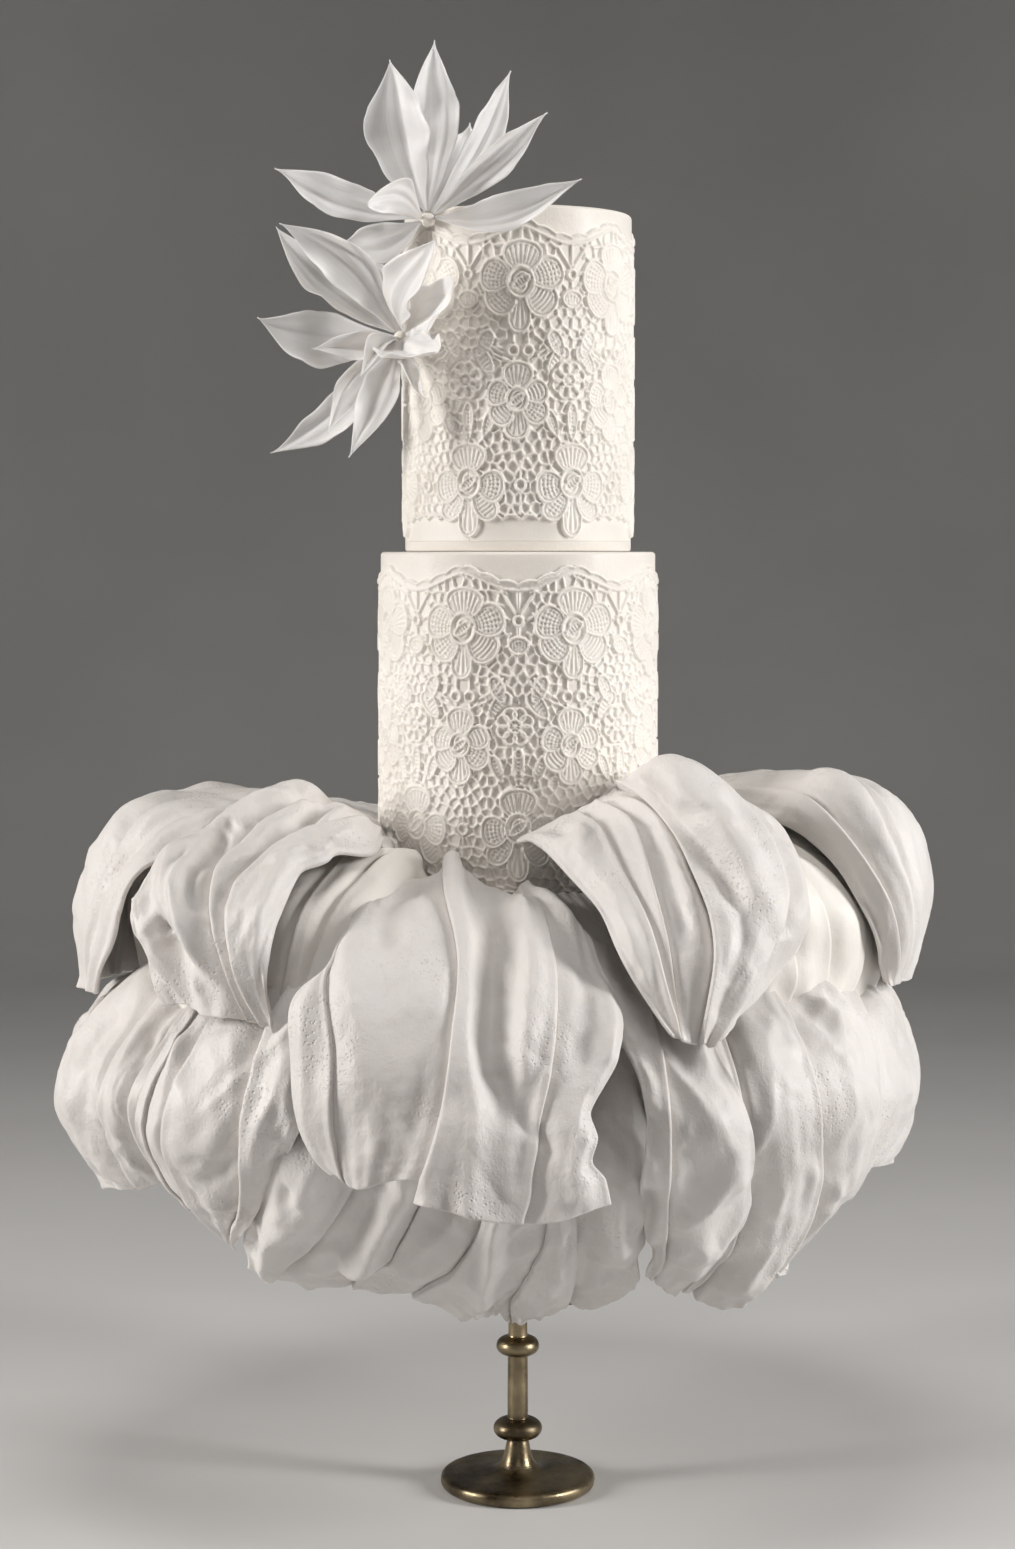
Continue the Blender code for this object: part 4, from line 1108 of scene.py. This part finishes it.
# The lower row, in two layers. Its ribs run neck, shoulder, waist, belly, lower belly, hem.
LOWER_SHEETS = {
    "swag_left_back": {
        "seams": [0.0, 0.20, (0.3, 0.36, 0.46, 0.5), (0.44, 0.5, 0.62, 0.78),
                  (0.76, 0.8, 0.85, 0.88), (0.9, 0.91, 0.925, 0.95), 1.0],
        "laps": [2.4, 3.4, 3.8, 3.4, 3.0],
        "seed": 71, "fade": (0.1, 0.8), "gather": 0.5, "wrinkle": (25, 1.7), "crumple": 1.0,
        "hem": [(0, 0), (0.55, 0), (0.6, -2), (0.635, -10), (0.7, -9), (0.92, -2), (1, 5)],
        "folds": [
            ([(52, 76), (60, 78), (66, 83), (74, 86)], -5.0, 6, 6),
            ([(45, 87), (50, 89), (55, 90)], -4.0, 3, 4),
            ([(48, 60), (58, 70), (70, 76)], 3.0, 6, 5),
            ([(40, 72), (50, 72), (56, 75)], -3.0, 5, 5),
        ],
        "ribs": {
            0.0: [(-119, *UNDER), (-118, 160, 336), (-115, 222, 304), (-116, 250, 262),
                  (-114, 240, 222), (-112, 228, 204)],
            0.45: [(-93, *UNDER), (-90, 160, 338), (-87, 230, 306), (-88, 266, 256),
                   (-88, 253, 216), (-88, 244, 202)],
            0.82: [(-70, *UNDER), (-68, 160, 337), (-66, 220, 307), (-65, 259, 260),
                   (-69, 247, 222), (-70, 239, 205)],
            1.0: [(-55, *UNDER), (-55, 158, 336), (-54, 202, 306), (-54, 237, 262), (-57, 226, 228),
                  (-60, 216, 209)],
        },
    },
    "swag_left": {
        "seams": [0.0, 0.10, (0.26, 0.29, 0.32, 0.4), (0.6, 0.62, 0.69, 0.74), 1.0],
        "laps": [-2.0, 4.2, 4.2],
        "seed": 81, "fade": (0.1, 0.7), "wrinkle": (30, 1.3), "gather": 0.4, "crumple": 1.0,
        "hem": [(0, 26), (0.25, 14), (0.5, 0), (1, 0)],
        "left": [(0, 0), (0.45, -4), (0.6, 2), (0.72, 8), (0.85, 13), (1, 14)],
        "right": [(0, 0), (0.5, 5), (0.7, 5), (0.8, 12), (0.91, 24), (1, 28)],
        "folds": [
            ([(38, 4), (49, 14), (55, 20), (65, 26), (76, 30)], 3.5, 5, 4),
            ([(73, 38), (77.5, 48), (80, 60), (82, 72)], 4.0, 4, 3, "end"),
            ([(58, 70), (66, 65), (72, 56), (74, 46)], -4.5, 6, 6),
            ([(72, 40), (68, 52), (72, 68)], -2.5, 5, 4),
            ([(84, 40), (87, 52), (90, 64)], -3.0, 6, 6),
        ],
        "ribs": {
            0.0: [(-58, *OVER), (-56, 160, 344), (-53, 212, 318), (-55, 256, 269), (-59, 242, 222),
                  (-58, 208, 187)],
            0.38: [(-46, *OVER), (-46, 160, 344), (-45, 210, 317), (-46.5, 250, 261),
                   (-50, 233, 216), (-52, 202, 183)],
            0.72: [(-35, *OVER), (-35, 160, 343), (-35, 208, 313), (-36, 239, 258), (-41, 221, 214),
                   (-48, 199, 187)],
            1.0: [(-24, *OVER), (-25, 158, 341), (-27, 204, 307), (-29, 228, 259), (-36, 213, 220),
                  (-46, 198, 192)],
        },
    },
    "swag_front_low": {
        "seams": [0.0, (0.2, 0.2, 0.19, 0.165, 0.05), (0.33, 0.34, 0.35, 0.33, 0.22),
                  (0.46, 0.48, 0.49, 0.49, 0.34), (0.66, 0.67, 0.68, 0.69, 0.67),
                  (0.73, 0.74, 0.74, 0.77, 0.88), 1.0],
        "laps": [-5.0, 2.6, 3.4, 2.8, -4.0],
        "seed": 91, "fade": (0.1, 0.8), "wrinkle": (36, 1.3), "broad": 2.4, "crown": 0.18,
        "left": [(0, 0), (0.55, 0), (0.67, -4), (0.8, -10), (0.92, -12), (1, -6)],
        "hem": [(0, 0), (0.15, -4), (0.25, -9), (0.37, -8), (0.46, -4), (0.51, 7), (0.56, 8),
                (0.6, 3), (0.66, -3), (0.77, 0), (0.82, 2), (0.87, -7), (0.93, -4), (1, -2)],
        "folds": [
            ([(40, 53), (71, 54), (86, 54), (93, 51), (100, 46)], 6.0, 6, 7, "end"),
            ([(60, 60), (73, 59), (80, 61), (95, 60)], -6.0, 8, 8, "end"),
            ([(55, 41), (70, 39), (77, 38), (90, 35)], -7.0, 10, 8),
            ([(50, 31), (67, 29), (75, 27), (82, 25), (92, 20)], 8.0, 8, 10),
            ([(86, 20), (81, 27), (80, 31), (85, 33), (89, 37)], 4.5, 4, 4),
            ([(90, 20), (91, 29), (95, 36)], -5.0, 6, 6),
            ([(60, 71), (72, 72), (79, 74), (86, 76), (96, 80)], 5.0, 5, 6),
            ([(60, 80), (72, 79), (80, 83), (92, 87)], -6.0, 7, 9),
            ([(60, 87), (72, 86), (76, 92), (85, 98)], 6.0, 8, 8),
            ([(82, 86), (87, 92), (90, 99)], -5.0, 6, 6),
            ([(50, 0), (62, 2), (75, 3), (90, 3), (100, 2)], 20, 30, 32, "end"),
            ([(70, 13.5), (78, 9), (86, 7), (95, 5)], 5.0, 6, 7, "end"),
            ([(66, 5), (70, 7), (72, 11)], -4.0, 4, 5),
            ([(80, 3), (88, 3.5), (95, 2)], -5.0, 4, 4),
            ([(74, 16), (82, 12), (90, 10), (97, 7)], -3.5, 4, 5),
            ([(60, 10), (70, 9), (76, 4)], 3.0, 4, 5),
            ([(66, 23.5), (75, 22.5), (84, 17)], -6.0, 7, 7),
        ],
        "ribs": {
            0.0: [(-33, *UNDER), (-33, 156, 333), (-33, 192, 298), (-34, 206, 252), (-42, 192, 208),
                  (-51, 180, 176)],
            0.22: [(-19, *UNDER), (-19, 154, 333), (-19, 190, 294), (-20, 205, 246),
                   (-30, 178, 190), (-38, 146, 158)],
            0.45: [(-6, *UNDER), (-6, 153, 332), (-6, 188, 291), (-6, 201, 240), (-12, 160, 180),
                   (-19, 98, 136)],
            0.68: [(5, *UNDER), (5, 152, 332), (5, 187, 289), (4.5, 198, 236), (3.5, 160, 179),
                   (-4, 46, 115)],
            1.0: [(24, *UNDER), (24, 152, 332), (23, 187, 289), (22, 195, 236), (26, 154, 178),
                  (38, 110, 142)],
        },
    },
    "swag_right_front": {
        "seams": [0.0, (0.44, 0.42, 0.34, 0.27), 1.0],
        "laps": [-3.0],
        "seed": 101, "fade": (0.1, 0.7), "wrinkle": (28, 1.8), "gather": 0.4,
        "ribs": {
            0.0: [(11, *OVER), (12, 158, 343), (14, 203, 312), (16, 231, 268), (18, 207, 216),
                  (31, 138, 158)],
            0.28: [(17, *OVER), (17, 158, 343), (18, 204, 313), (18, 236, 266), (22, 204, 207),
                   (32, 142, 155)],
            1.0: [(33, *OVER), (32, 158, 343), (30, 206, 313), (31, 239, 260), (38, 194, 192),
                  (39, 140, 146)],
        },
    },
    "swag_right": {
        "seams": [0.0, (0.22, 0.17, 0.09, 0.07), (0.42, 0.39, 0.345, 0.33),
                  (0.74, 0.66, 0.57, 0.52), (0.9, 0.86, 0.78, 0.75), (0.95, 0.93, 0.9, 0.88), 1.0],
        "laps": [-3.4, -5.0, -4.8, -4.2, -3.0],
        "seed": 111, "fade": (0.1, 0.8), "wrinkle": (26, 1.4), "broad": 1.4, "gather": 0.4,
        "crown": 0.12, "crumple": 0.9,
        "ribs": {
            0.0: [(27, *UNDER), (27, 154, 334), (26, 196, 303), (27.5, 221, 258), (36, 184, 196),
                  (42, 132, 149)],
            0.33: [(42, *UNDER), (42, 158, 337), (40, 204, 312), (41, 235, 264), (50, 203, 192),
                   (52, 166, 147)],
            0.55: [(58, *UNDER), (58, 160, 338), (56, 209, 313), (54, 236, 266), (58, 222, 216),
                   (54, 209, 199)],
            0.75: [(76, *UNDER), (74, 160, 338), (70, 209, 313), (70, 232, 266), (68, 228, 236),
                   (62, 218, 216)],
            1.0: [(104, *UNDER), (104, 160, 338), (104, 208, 310), (104, 229, 266), (103, 222, 234),
                  (99, 210, 216)],
        },
    },
}
BACK_SWAG = {
    "seams": [0.0, 0.24, 0.5, 0.76, 1.0],
    "laps": [1.8, 1.8, -1.8],
    "seed": 121, "fade": (0.1, 0.7),
    "ribs": {
        0.0: [(-21, *OVER), (-21, 160, 343), (-21, 209, 316), (-23, 240, 262), (-22, 224, 210),
              (-17, 176, 166)],
        0.5: [(0, *OVER), (0, 160, 344), (0, 212, 318), (0, 250, 260), (0, 232, 206),
              (0, 166, 152)],
        1.0: [(21, *OVER), (21, 160, 343), (21, 209, 316), (23, 240, 262), (22, 224, 210),
              (17, 176, 166)],
    },
}
BACK_SWAG_PLACES = {"swag_back_right": 126.0, "swag_back": 173.0, "swag_back_left": 220.0}


def placed(pattern, shift, seed):
    """A back sheet: the pattern's ribs moved round the cake by shift degrees, with a seed of
    its own."""
    ribs = {s: [(az + shift, r, z) for az, r, z in knots] for s, knots in pattern["ribs"].items()}
    return {**pattern, "ribs": ribs, "seed": seed}


# Linings: the pale inner walls of the puffs, seen through the openings between them.
LININGS = {
    "lining_right": {
        "seams": [0.0, 0.18, 0.32, 0.46, 0.6, 0.78, 1.0],
        "laps": [-1.6, -1.8, -1.8, -1.6, -1.2],
        "seed": 401, "crown": 0.06, "wrinkle": (35, 0.5), "broad": 1.4, "gather": 0.6,
        "fade": (0.5, 0.9), "crumple": 0.3, "crease": 0.4,
        "folds": [
            ([(20, 15), (45, 30), (70, 55)], 3.0, 11, 13),
            ([(40, 10), (65, 22), (90, 45)], -3.0, 11, 11),
            ([(55, 5), (75, 14), (95, 30)], 3.0, 9, 12),
        ],
        "ribs": {
            0.0: [(36, 130, 398), (36, 172, 388), (37, 190, 362), (38, 194, 335), (38, 188, 306)],
            0.5: [(62, 140, 402), (62, 184, 394), (63, 211, 368), (64, 218, 338), (64, 206, 302)],
            1.0: [(96, 140, 402), (96, 188, 394), (96, 213, 368), (96, 219, 338), (96, 208, 302)],
        },
    },
    "lining_left": {
        "seams": [0.0, 0.3, 0.5, 0.6, 0.68, 0.76, 0.84, 1.0],
        "laps": [0.8, 1.6, 2.6, 2.6, 2.6, 2.6],
        "seed": 411, "crown": 0.15, "wrinkle": (15, 0.3), "broad": 0.8, "gather": 0.8,
        "fade": (0.7, 0.9),
        "ribs": {
            0.0: [(-104, 140, 396), (-104, 186, 390), (-104, 216, 364), (-104, 222, 338),
                  (-104, 211, 304)],
            0.38: [(-72, 120, 398), (-72, 172, 394), (-70, 210, 370), (-70, 217, 342),
                   (-70, 207, 304)],
            0.66: [(-54, 96, 390), (-52, 136, 391), (-48, 178, 378), (-45, 204, 350),
                   (-44, 205, 308)],
            0.88: [(-41, 86, 384), (-38, 108, 386), (-34, 140, 379), (-33, 178, 358),
                   (-35, 202, 308)],
            1.0: [(-36, 86, 356), (-33, 108, 355), (-30, 140, 346), (-29, 172, 332),
                  (-32, 194, 304)],
        },
    },
}


all_sheets = {**UPPER_SHEETS, **LOWER_SHEETS}
for number, (name, shift) in enumerate(BACK_PUFF_PLACES.items()):
    all_sheets[name] = placed(BACK_PUFF, shift, 130 + 20 * number)
for number, (name, shift) in enumerate(BACK_SWAG_PLACES.items()):
    all_sheets[name] = placed(BACK_SWAG, shift, 210 + 20 * number)

skirt_paste = sugarpaste("Rolled sugarpaste", PASTE_LIGHT, PASTE_SHADE)
lining_paste = sugarpaste("Cream sugarpaste", LINING_LIGHT, LINING_SHADE, grain=0.5, pits=0.3)
for name, plan in all_sheets.items():
    far_back = "back" in name and name != "swag_left_back"
    surface = pleated_sheet(plan, BACK_CELL if far_back else SHEET_CELL)
    points, faces = closed_sheet(*surface, SHEET_THICKNESS)
    piece_from(f"{name}_sheet", points, faces, skirt_paste, [name], "sugarpaste")
for name, plan in LININGS.items():
    points, faces = closed_sheet(*pleated_sheet(plan, LINING_CELL), LINING_THICKNESS)
    piece_from(f"{name}_sheet", points, faces, lining_paste, [], "sugarpaste")


# Posies

# Long petals cut from sheer sugar sheet, dried over a curve and wired. The wires run into
# the upper barrel from one point, with a small bud over the joint.
POSY_CENTRES = {"top": (-51.4, -53.6, 751.6), "side": (-67.4, -31.4, 687.0)}
PETAL_THICKNESS = 0.8
PETAL_START = 4.2
PETAL_ROWS = 56
PETAL_COLUMNS = 25
PETAL_SIZES = 7
BUD_RADIUS = 4.4
SHEER_LIGHT = (0.93, 0.915, 0.90)
SHEER_SHADE = (0.87, 0.85, 0.83)
# Each petal's tip and width in mm, turn of its face in degrees, cup as a share of its half
# width, sideways bow and outward arch as shares of its length, and how blunt and curled its
# tip is (0 when left out).
PETALS = {
    "top": [
        ("a", (-69.4, -56.0, 841.4), 38, 14, 0.30, -0.07, 0.05),
        ("b", (-51.4, -16.0, 858.3), 28, -6, 0.16, 0.03, 0.01),
        ("c", (-7.6, -30.0, 840.2), 20, -24, 0.30, 0.09, 0.05),
        ("d", (14.4, -66.0, 812.0), 18, -30, 0.30, 0.06, 0.10),
        ("e", (34.7, -88.0, 772.0), 21, -14, 0.22, 0.12, 0.10),
        ("f", (-137.5, -45.0, 785.1), 22, 12, 0.26, -0.08, 0.04),
        ("g", (-25.3, 5.0, 813.7), 18, 10, 0.20, 0.02, 0.05),
        ("h", (-99.5, -25.0, 741.5), 23, 20, 0.30, -0.10, -0.04, 0.5),
        ("i", (-88.1, -82.0, 757.0), 22, 24, 0.42, 0.16, 0.12, 0.8),
    ],
    "side": [
        ("a", (-134.0, -52.0, 751.8), 26, 10, 0.24, 0.07, 0.08),
        ("b", (-142.6, -20.0, 748.9), 25, -14, 0.36, -0.04, 0.03),
        ("c", (-151.2, -29.0, 695.8), 34, 6, 0.14, -0.07, -0.065),
        ("d", (-117.0, -74.0, 679.3), 17, 20, 0.30, -0.07, 0.08),
        ("e", (-141.2, -30.0, 618.1), 25, -6, 0.20, -0.06, -0.06),
        ("f", (-110.4, -55.0, 632.0), 16, 12, 0.30, 0.055, 0.035),
        ("g", (-93.2, -72.0, 615.9), 22, 12, 0.22, -0.02, 0.125),
        ("h", (-40.9, -92.0, 736.7), 29, 16, 0.20, -0.085, 0.17, 0.35),
        ("i", (-25.9, -90.0, 714.0), 26, 19, 0.34, 0.045, 0.10, 1.0),
        ("j", (-34.3, -104.0, 667.6), 32, 24, 0.44, 0.12, 0.16, 1.0),
        ("k", (-90.3, -6.0, 740.6), 14, 10, 0.26, 0.06, -0.08),
        ("l", (-54.5, -78.0, 648.8), 10, 12, 0.30, 0.02, 0.06),
        ("m", (-87.3, -83.0, 660.7), 12, 16, 0.36, 0.06, 0.16),
    ],
}


def sheer_petal(centre, tip, width, turn, cup, bow, arch, blunt, seed):
    """One petal, u along and v across. Its line runs from the bud to the tip, bows sideways
    and arches outwards as sin(pi u), and its tip hooks sideways as u^6 and curls out as
    blunt * u^3. Its half width follows sin(pi u^1.12)^((1.05 + 0.3 u)(1 - 0.62 blunt u)),
    less small nicks in its edge. Across it is cupped as |v|^1.5, with a thin crease along
    the middle, two pleats, one rolled edge and slow waves that grow as |v|^3."""
    centre, tip = np.array(centre, float), np.array(tip, float)
    length = np.linalg.norm(tip - centre)
    axis = (tip - centre) / length
    outward = np.array([-0.10, -0.98, 0.17])  # petals face the front, a little up
    face = unit(outward - axis * (outward @ axis))
    side = np.cross(axis, face)
    bow_way, arch_way = side, face
    t = math.radians(turn)
    side, face = side * math.cos(t) + face * math.sin(t), face * math.cos(t) - side * math.sin(t)
    start = PETAL_START / length
    s = np.linspace(start, 1, PETAL_ROWS)[:, None]
    u = (s - start) / (1 - start)
    v = np.sin(np.linspace(-math.pi / 2, math.pi / 2, PETAL_COLUMNS))[None, :]
    lens = np.clip(np.sin(np.pi * u**1.12), 1e-6, 1)
    lens = lens ** ((1.05 + 0.3 * u) * (1 - 0.62 * blunt * u))
    place_of = np.stack([u * length + 0 * v, v * 9 + 0 * u], axis=2)
    nick = 1 - 0.045 * (1 + ripples(place_of, 26, seed)) * np.abs(v) ** 2
    nick = nick - 0.02 * np.maximum(ripples(place_of, 12, seed + 4) - 0.6, 0) * v**2
    half = np.maximum(1.8 * (1 - u) + width * lens, 0.9) / 2 * nick
    chance = np.random.default_rng(seed + 5)
    hook = chance.choice([-1.0, 1.0]) * chance.uniform(0.02, 0.045)

    line = centre + axis * (length * s)[..., None]
    line = line + bow_way * (bow * length * np.sin(np.pi * u))[..., None]
    line = line + arch_way * (arch * length * np.sin(np.pi * u))[..., None]
    line = line + bow_way * (hook * length * u**6)[..., None]
    line = line + arch_way * (0.16 * blunt * length * u**3)[..., None]

    lift = cup * half * (np.abs(v) ** 1.5 - 0.35)
    lift = lift - 0.55 * np.exp(-((v * half / 0.9) ** 2)) * lens
    ruffle = 1.5 * ripples(place_of, 36, seed + 1) + 0.25 * ripples(place_of, 15, seed + 2)
    lift = lift + (1 + 1.6 * blunt) * ruffle * np.abs(v) ** 3 * lens
    for _ in range(2):
        middle, lean = chance.uniform(-0.55, 0.55), chance.uniform(-0.3, 0.3)
        sharp = chance.uniform(1.0, 2.2)
        pleat = np.exp(-(((v - middle - lean * (u - 0.5)) * half / sharp) ** 2))
        lift = lift + chance.choice([-1.9, 1.5]) * pleat * lens
    edge_side = chance.choice([-1.0, 1.0])
    roll = smooth((edge_side * v - 0.45) / 0.55)
    roll = roll * smooth((u - 0.25) / 0.3) * smooth((0.95 - u) / 0.3)
    lift = lift + 3.2 * roll * (0.5 + 0.5 * np.sin(2 * math.pi * u + 120 * hook))
    lift = lift + 0.7 * ripples(place_of, 40, seed + 3) * lens

    points = line + side * (half * v)[..., None] + face * lift[..., None]
    normal = unit(np.cross(np.gradient(points, axis=0), np.gradient(points, axis=1)))
    edge = (1 - np.abs(v)) * half
    from_edge = np.minimum(edge, np.minimum(u, 1 - u) * length) + 0 * u
    return points, normal, from_edge, u, v


def sheer_sugar():
    """Sheer sugar sheet: thin, pale, lit from behind through its thickness, a little more
    solid along its sides, with faint streaks along each petal from its own map."""
    made, tree, shader, where = fresh_material(
        "Sheer sugar",
        Subsurface_Weight=0.45, Subsurface_Radius=(1.0, 0.85, 0.7), Subsurface_Scale=0.003,
    )
    mottle(tree, where, shader, "Base Color", 30, 4, SHEER_SHADE, SHEER_LIGHT)
    mottle(tree, where, shader, "Roughness", 110, 3, 0.34, 0.52)
    own = place(tree, "UVMap", uv_map="Petal")
    apart = place(tree, "SeparateXYZ")
    middle = place(tree, "Math", operation="SUBTRACT")
    middle.inputs[1].default_value = 0.5
    aside = place(tree, "Math", operation="ABSOLUTE")
    rim = place(tree, "MapRange", From_Min=0.40, From_Max=0.485, To_Min=0.80)
    stretch = place(tree, "Mapping", Scale=(34, 2.2, 1))
    streaks = place(tree, "TexNoise", Scale=1.0, Detail=4)
    bump = place(tree, "Bump", Strength=0.35, Distance=0.0006)
    wire(
        tree, (own, "UV", apart, "Vector"), (apart, "X", middle, 0), (middle, "Value", aside, 0),
        (aside, "Value", rim, "Value"), (rim, "Result", shader, "Alpha"),
        (own, "UV", stretch, "Vector"), (stretch, "Vector", streaks, "Vector"),
        (streaks, "Fac", bump, "Height"), (bump, "Normal", shader, "Normal"),
    )
    return made


def petal_map(piece, u, v):
    """Gives a petal its own map: across as U, along as V, the same on both faces."""
    front = np.stack(np.broadcast_arrays((v + 1) / 2, u), axis=2)
    both = np.vstack([front.reshape(-1, 2), front[1:-1, 1:-1].reshape(-1, 2)])
    corner = np.empty(len(piece.data.loops), np.int32)
    piece.data.loops.foreach_get("vertex_index", corner)
    layer = piece.data.uv_layers.new(name="Petal")
    layer.data.foreach_set("uv", both[corner].astype(np.float32).ravel())


def bud_points(centre, rows=14, columns=28):
    """A small ribbed bud that points away from the cake: R cos a along its axis, and
    R sin a (1 - 0.09 (1 + cos(5b + 2a))) away from it."""
    a = np.linspace(0.06, math.pi - 0.06, rows)[:, None]
    b = np.linspace(0, 2 * math.pi, columns, endpoint=False)[None, :]
    radius = BUD_RADIUS * np.sin(a) * (1 - 0.09 * (1 + np.cos(5 * b + 2 * a)))
    outward = unit(np.array([centre[0], centre[1], 25.0]))
    side = unit(np.cross(outward, [0.0, 0.0, 1.0]))
    other = np.cross(outward, side)
    points = np.array(centre, float) + outward * (BUD_RADIUS * np.cos(a) + 0 * b)[..., None]
    points = points + side * (radius * np.cos(b))[..., None]
    return points + other * (radius * np.sin(b))[..., None]


sheer = sheer_sugar()
for row, (posy, centre) in enumerate(POSY_CENTRES.items()):
    for number, (label, *shape) in enumerate(PETALS[posy]):
        shape = shape + [0.0] * (PETAL_SIZES - len(shape))
        points, normal, from_edge, u, v = sheer_petal(centre, *shape, seed=300 + 40 * row + number)
        points, faces = closed_sheet(points, normal, from_edge, PETAL_THICKNESS)
        node = f"petal_{posy}_{label}"
        piece = piece_from(f"{node}_sheer", points, faces, sheer, [node], "petal")
        petal_map(piece, u, v)
    grid = bud_points(centre)
    points = np.vstack([grid.reshape(-1, 3), grid[0].mean(axis=0), grid[-1].mean(axis=0)])
    piece_from(
        f"bud_{posy}_sheer", points * 0.001, ring_faces(*grid.shape[:2]), barrel_paste,
        [f"bud_{posy}"], "petal",
    )


# Studio

# A plain pale floor that curves up into a wall all round, four soft lights and the camera.
# The two tall lights at the sides model the folds; the other two only fill the shadows.
FLOOR_SIDES = 128
FLOOR_REACH = 2.2
FLOOR_BEND = 1.2
WALL_HEIGHT = 3.6
FLOOR_SHADE = (0.64, 0.635, 0.625)
FLOOR_LIGHT = (0.68, 0.675, 0.665)
CAKE_MIDDLE = (0.0, 0.0, 0.42)


def pale_floor():
    """The floor's paint: pale grey with a faint mottle."""
    made, tree, shader, where = fresh_material("Pale floor", Roughness=0.75)
    mottle(tree, where, shader, "Base Color", 3, 3, FLOOR_SHADE, FLOOR_LIGHT)
    return made


bend = np.linspace(0, math.pi / 2, 24)[1:]
floor_profile = [(0.5, 0.0), (FLOOR_REACH, 0.0)]
floor_profile += [
    (FLOOR_REACH + FLOOR_BEND * math.sin(a), FLOOR_BEND - FLOOR_BEND * math.cos(a)) for a in bend
]
ring = np.array([*floor_profile, (FLOOR_REACH + FLOOR_BEND, WALL_HEIGHT)])
turn = np.linspace(0, 2 * math.pi, FLOOR_SIDES, endpoint=False)
height = np.repeat(ring[:, 1:], FLOOR_SIDES, axis=1)
floor_points = np.stack([ring[:, :1] * np.sin(turn), -ring[:, :1] * np.cos(turn), height], 2)
floor_points = np.vstack([floor_points.reshape(-1, 3), [0, 0, 0]])
floor_faces = ring_faces(len(ring), FLOOR_SIDES)[:2]
smooth_piece("studio_floor", floor_points, floor_faces, pale_floor())


def soft_light(name, position, target, size, power, colour):
    """A soft light at a position, facing a target: its size is its width and height, and its
    power is in watts."""
    lamp = bpy.data.lights.new(name, "AREA")
    lamp.shape = "RECTANGLE"
    lamp.size, lamp.size_y = size
    lamp.energy = power
    lamp.color = colour
    lamp.spread = math.radians(110)
    made = bpy.data.objects.new(name, lamp)
    bpy.context.scene.collection.objects.link(made)
    aim = np.array(target, float) - np.array(position, float)
    made.location = position
    made.rotation_euler = (
        math.atan2(math.hypot(aim[0], aim[1]), -aim[2]), 0, math.atan2(aim[0], -aim[1]) + math.pi
    )


for name, position, target, size, power, colour in (
    ("right_light", (2.02, -0.62, 0.95), CAKE_MIDDLE, (0.42, 1.1), 15.2, (1.0, 0.985, 0.975)),
    ("left_light", (-2.02, -0.52, 0.95), CAKE_MIDDLE, (0.42, 1.1), 13.8, (1.0, 0.97, 0.945)),
    ("front_light", (0.3, -2.6, 1.6), CAKE_MIDDLE, (1.0, 1.0), 1.8, (1.0, 0.92, 0.87)),
    ("top_light", (-0.1, -0.6, 2.3), (0.0, 0.0, 0.5), (0.7, 0.7), 4.6, (1.0, 0.975, 0.95)),
):
    soft_light(name, position, target, size, power, colour)

world = bpy.data.worlds.new("studio")
world.use_nodes = True
dial(world.node_tree.nodes["Background"], Color=(0.97, 0.95, 0.935, 1), Strength=0.07)
bpy.context.scene.world = world
bpy.context.scene.view_settings.view_transform = "Standard"

# The camera stands 1.7 m in front of the cake, a little above its middle, and looks slightly
# down; its lens is given in mm for a sensor 36 mm wide.
lens = bpy.data.cameras.new("camera")
lens.sensor_width = 36
lens.lens = 67.4
camera = bpy.data.objects.new("camera", lens)
camera.location = (-0.0062, -1.719, 0.563)
camera.rotation_euler = (math.radians(90 - 4.37), 0, 0)
bpy.context.scene.collection.objects.link(camera)
bpy.context.scene.camera = camera
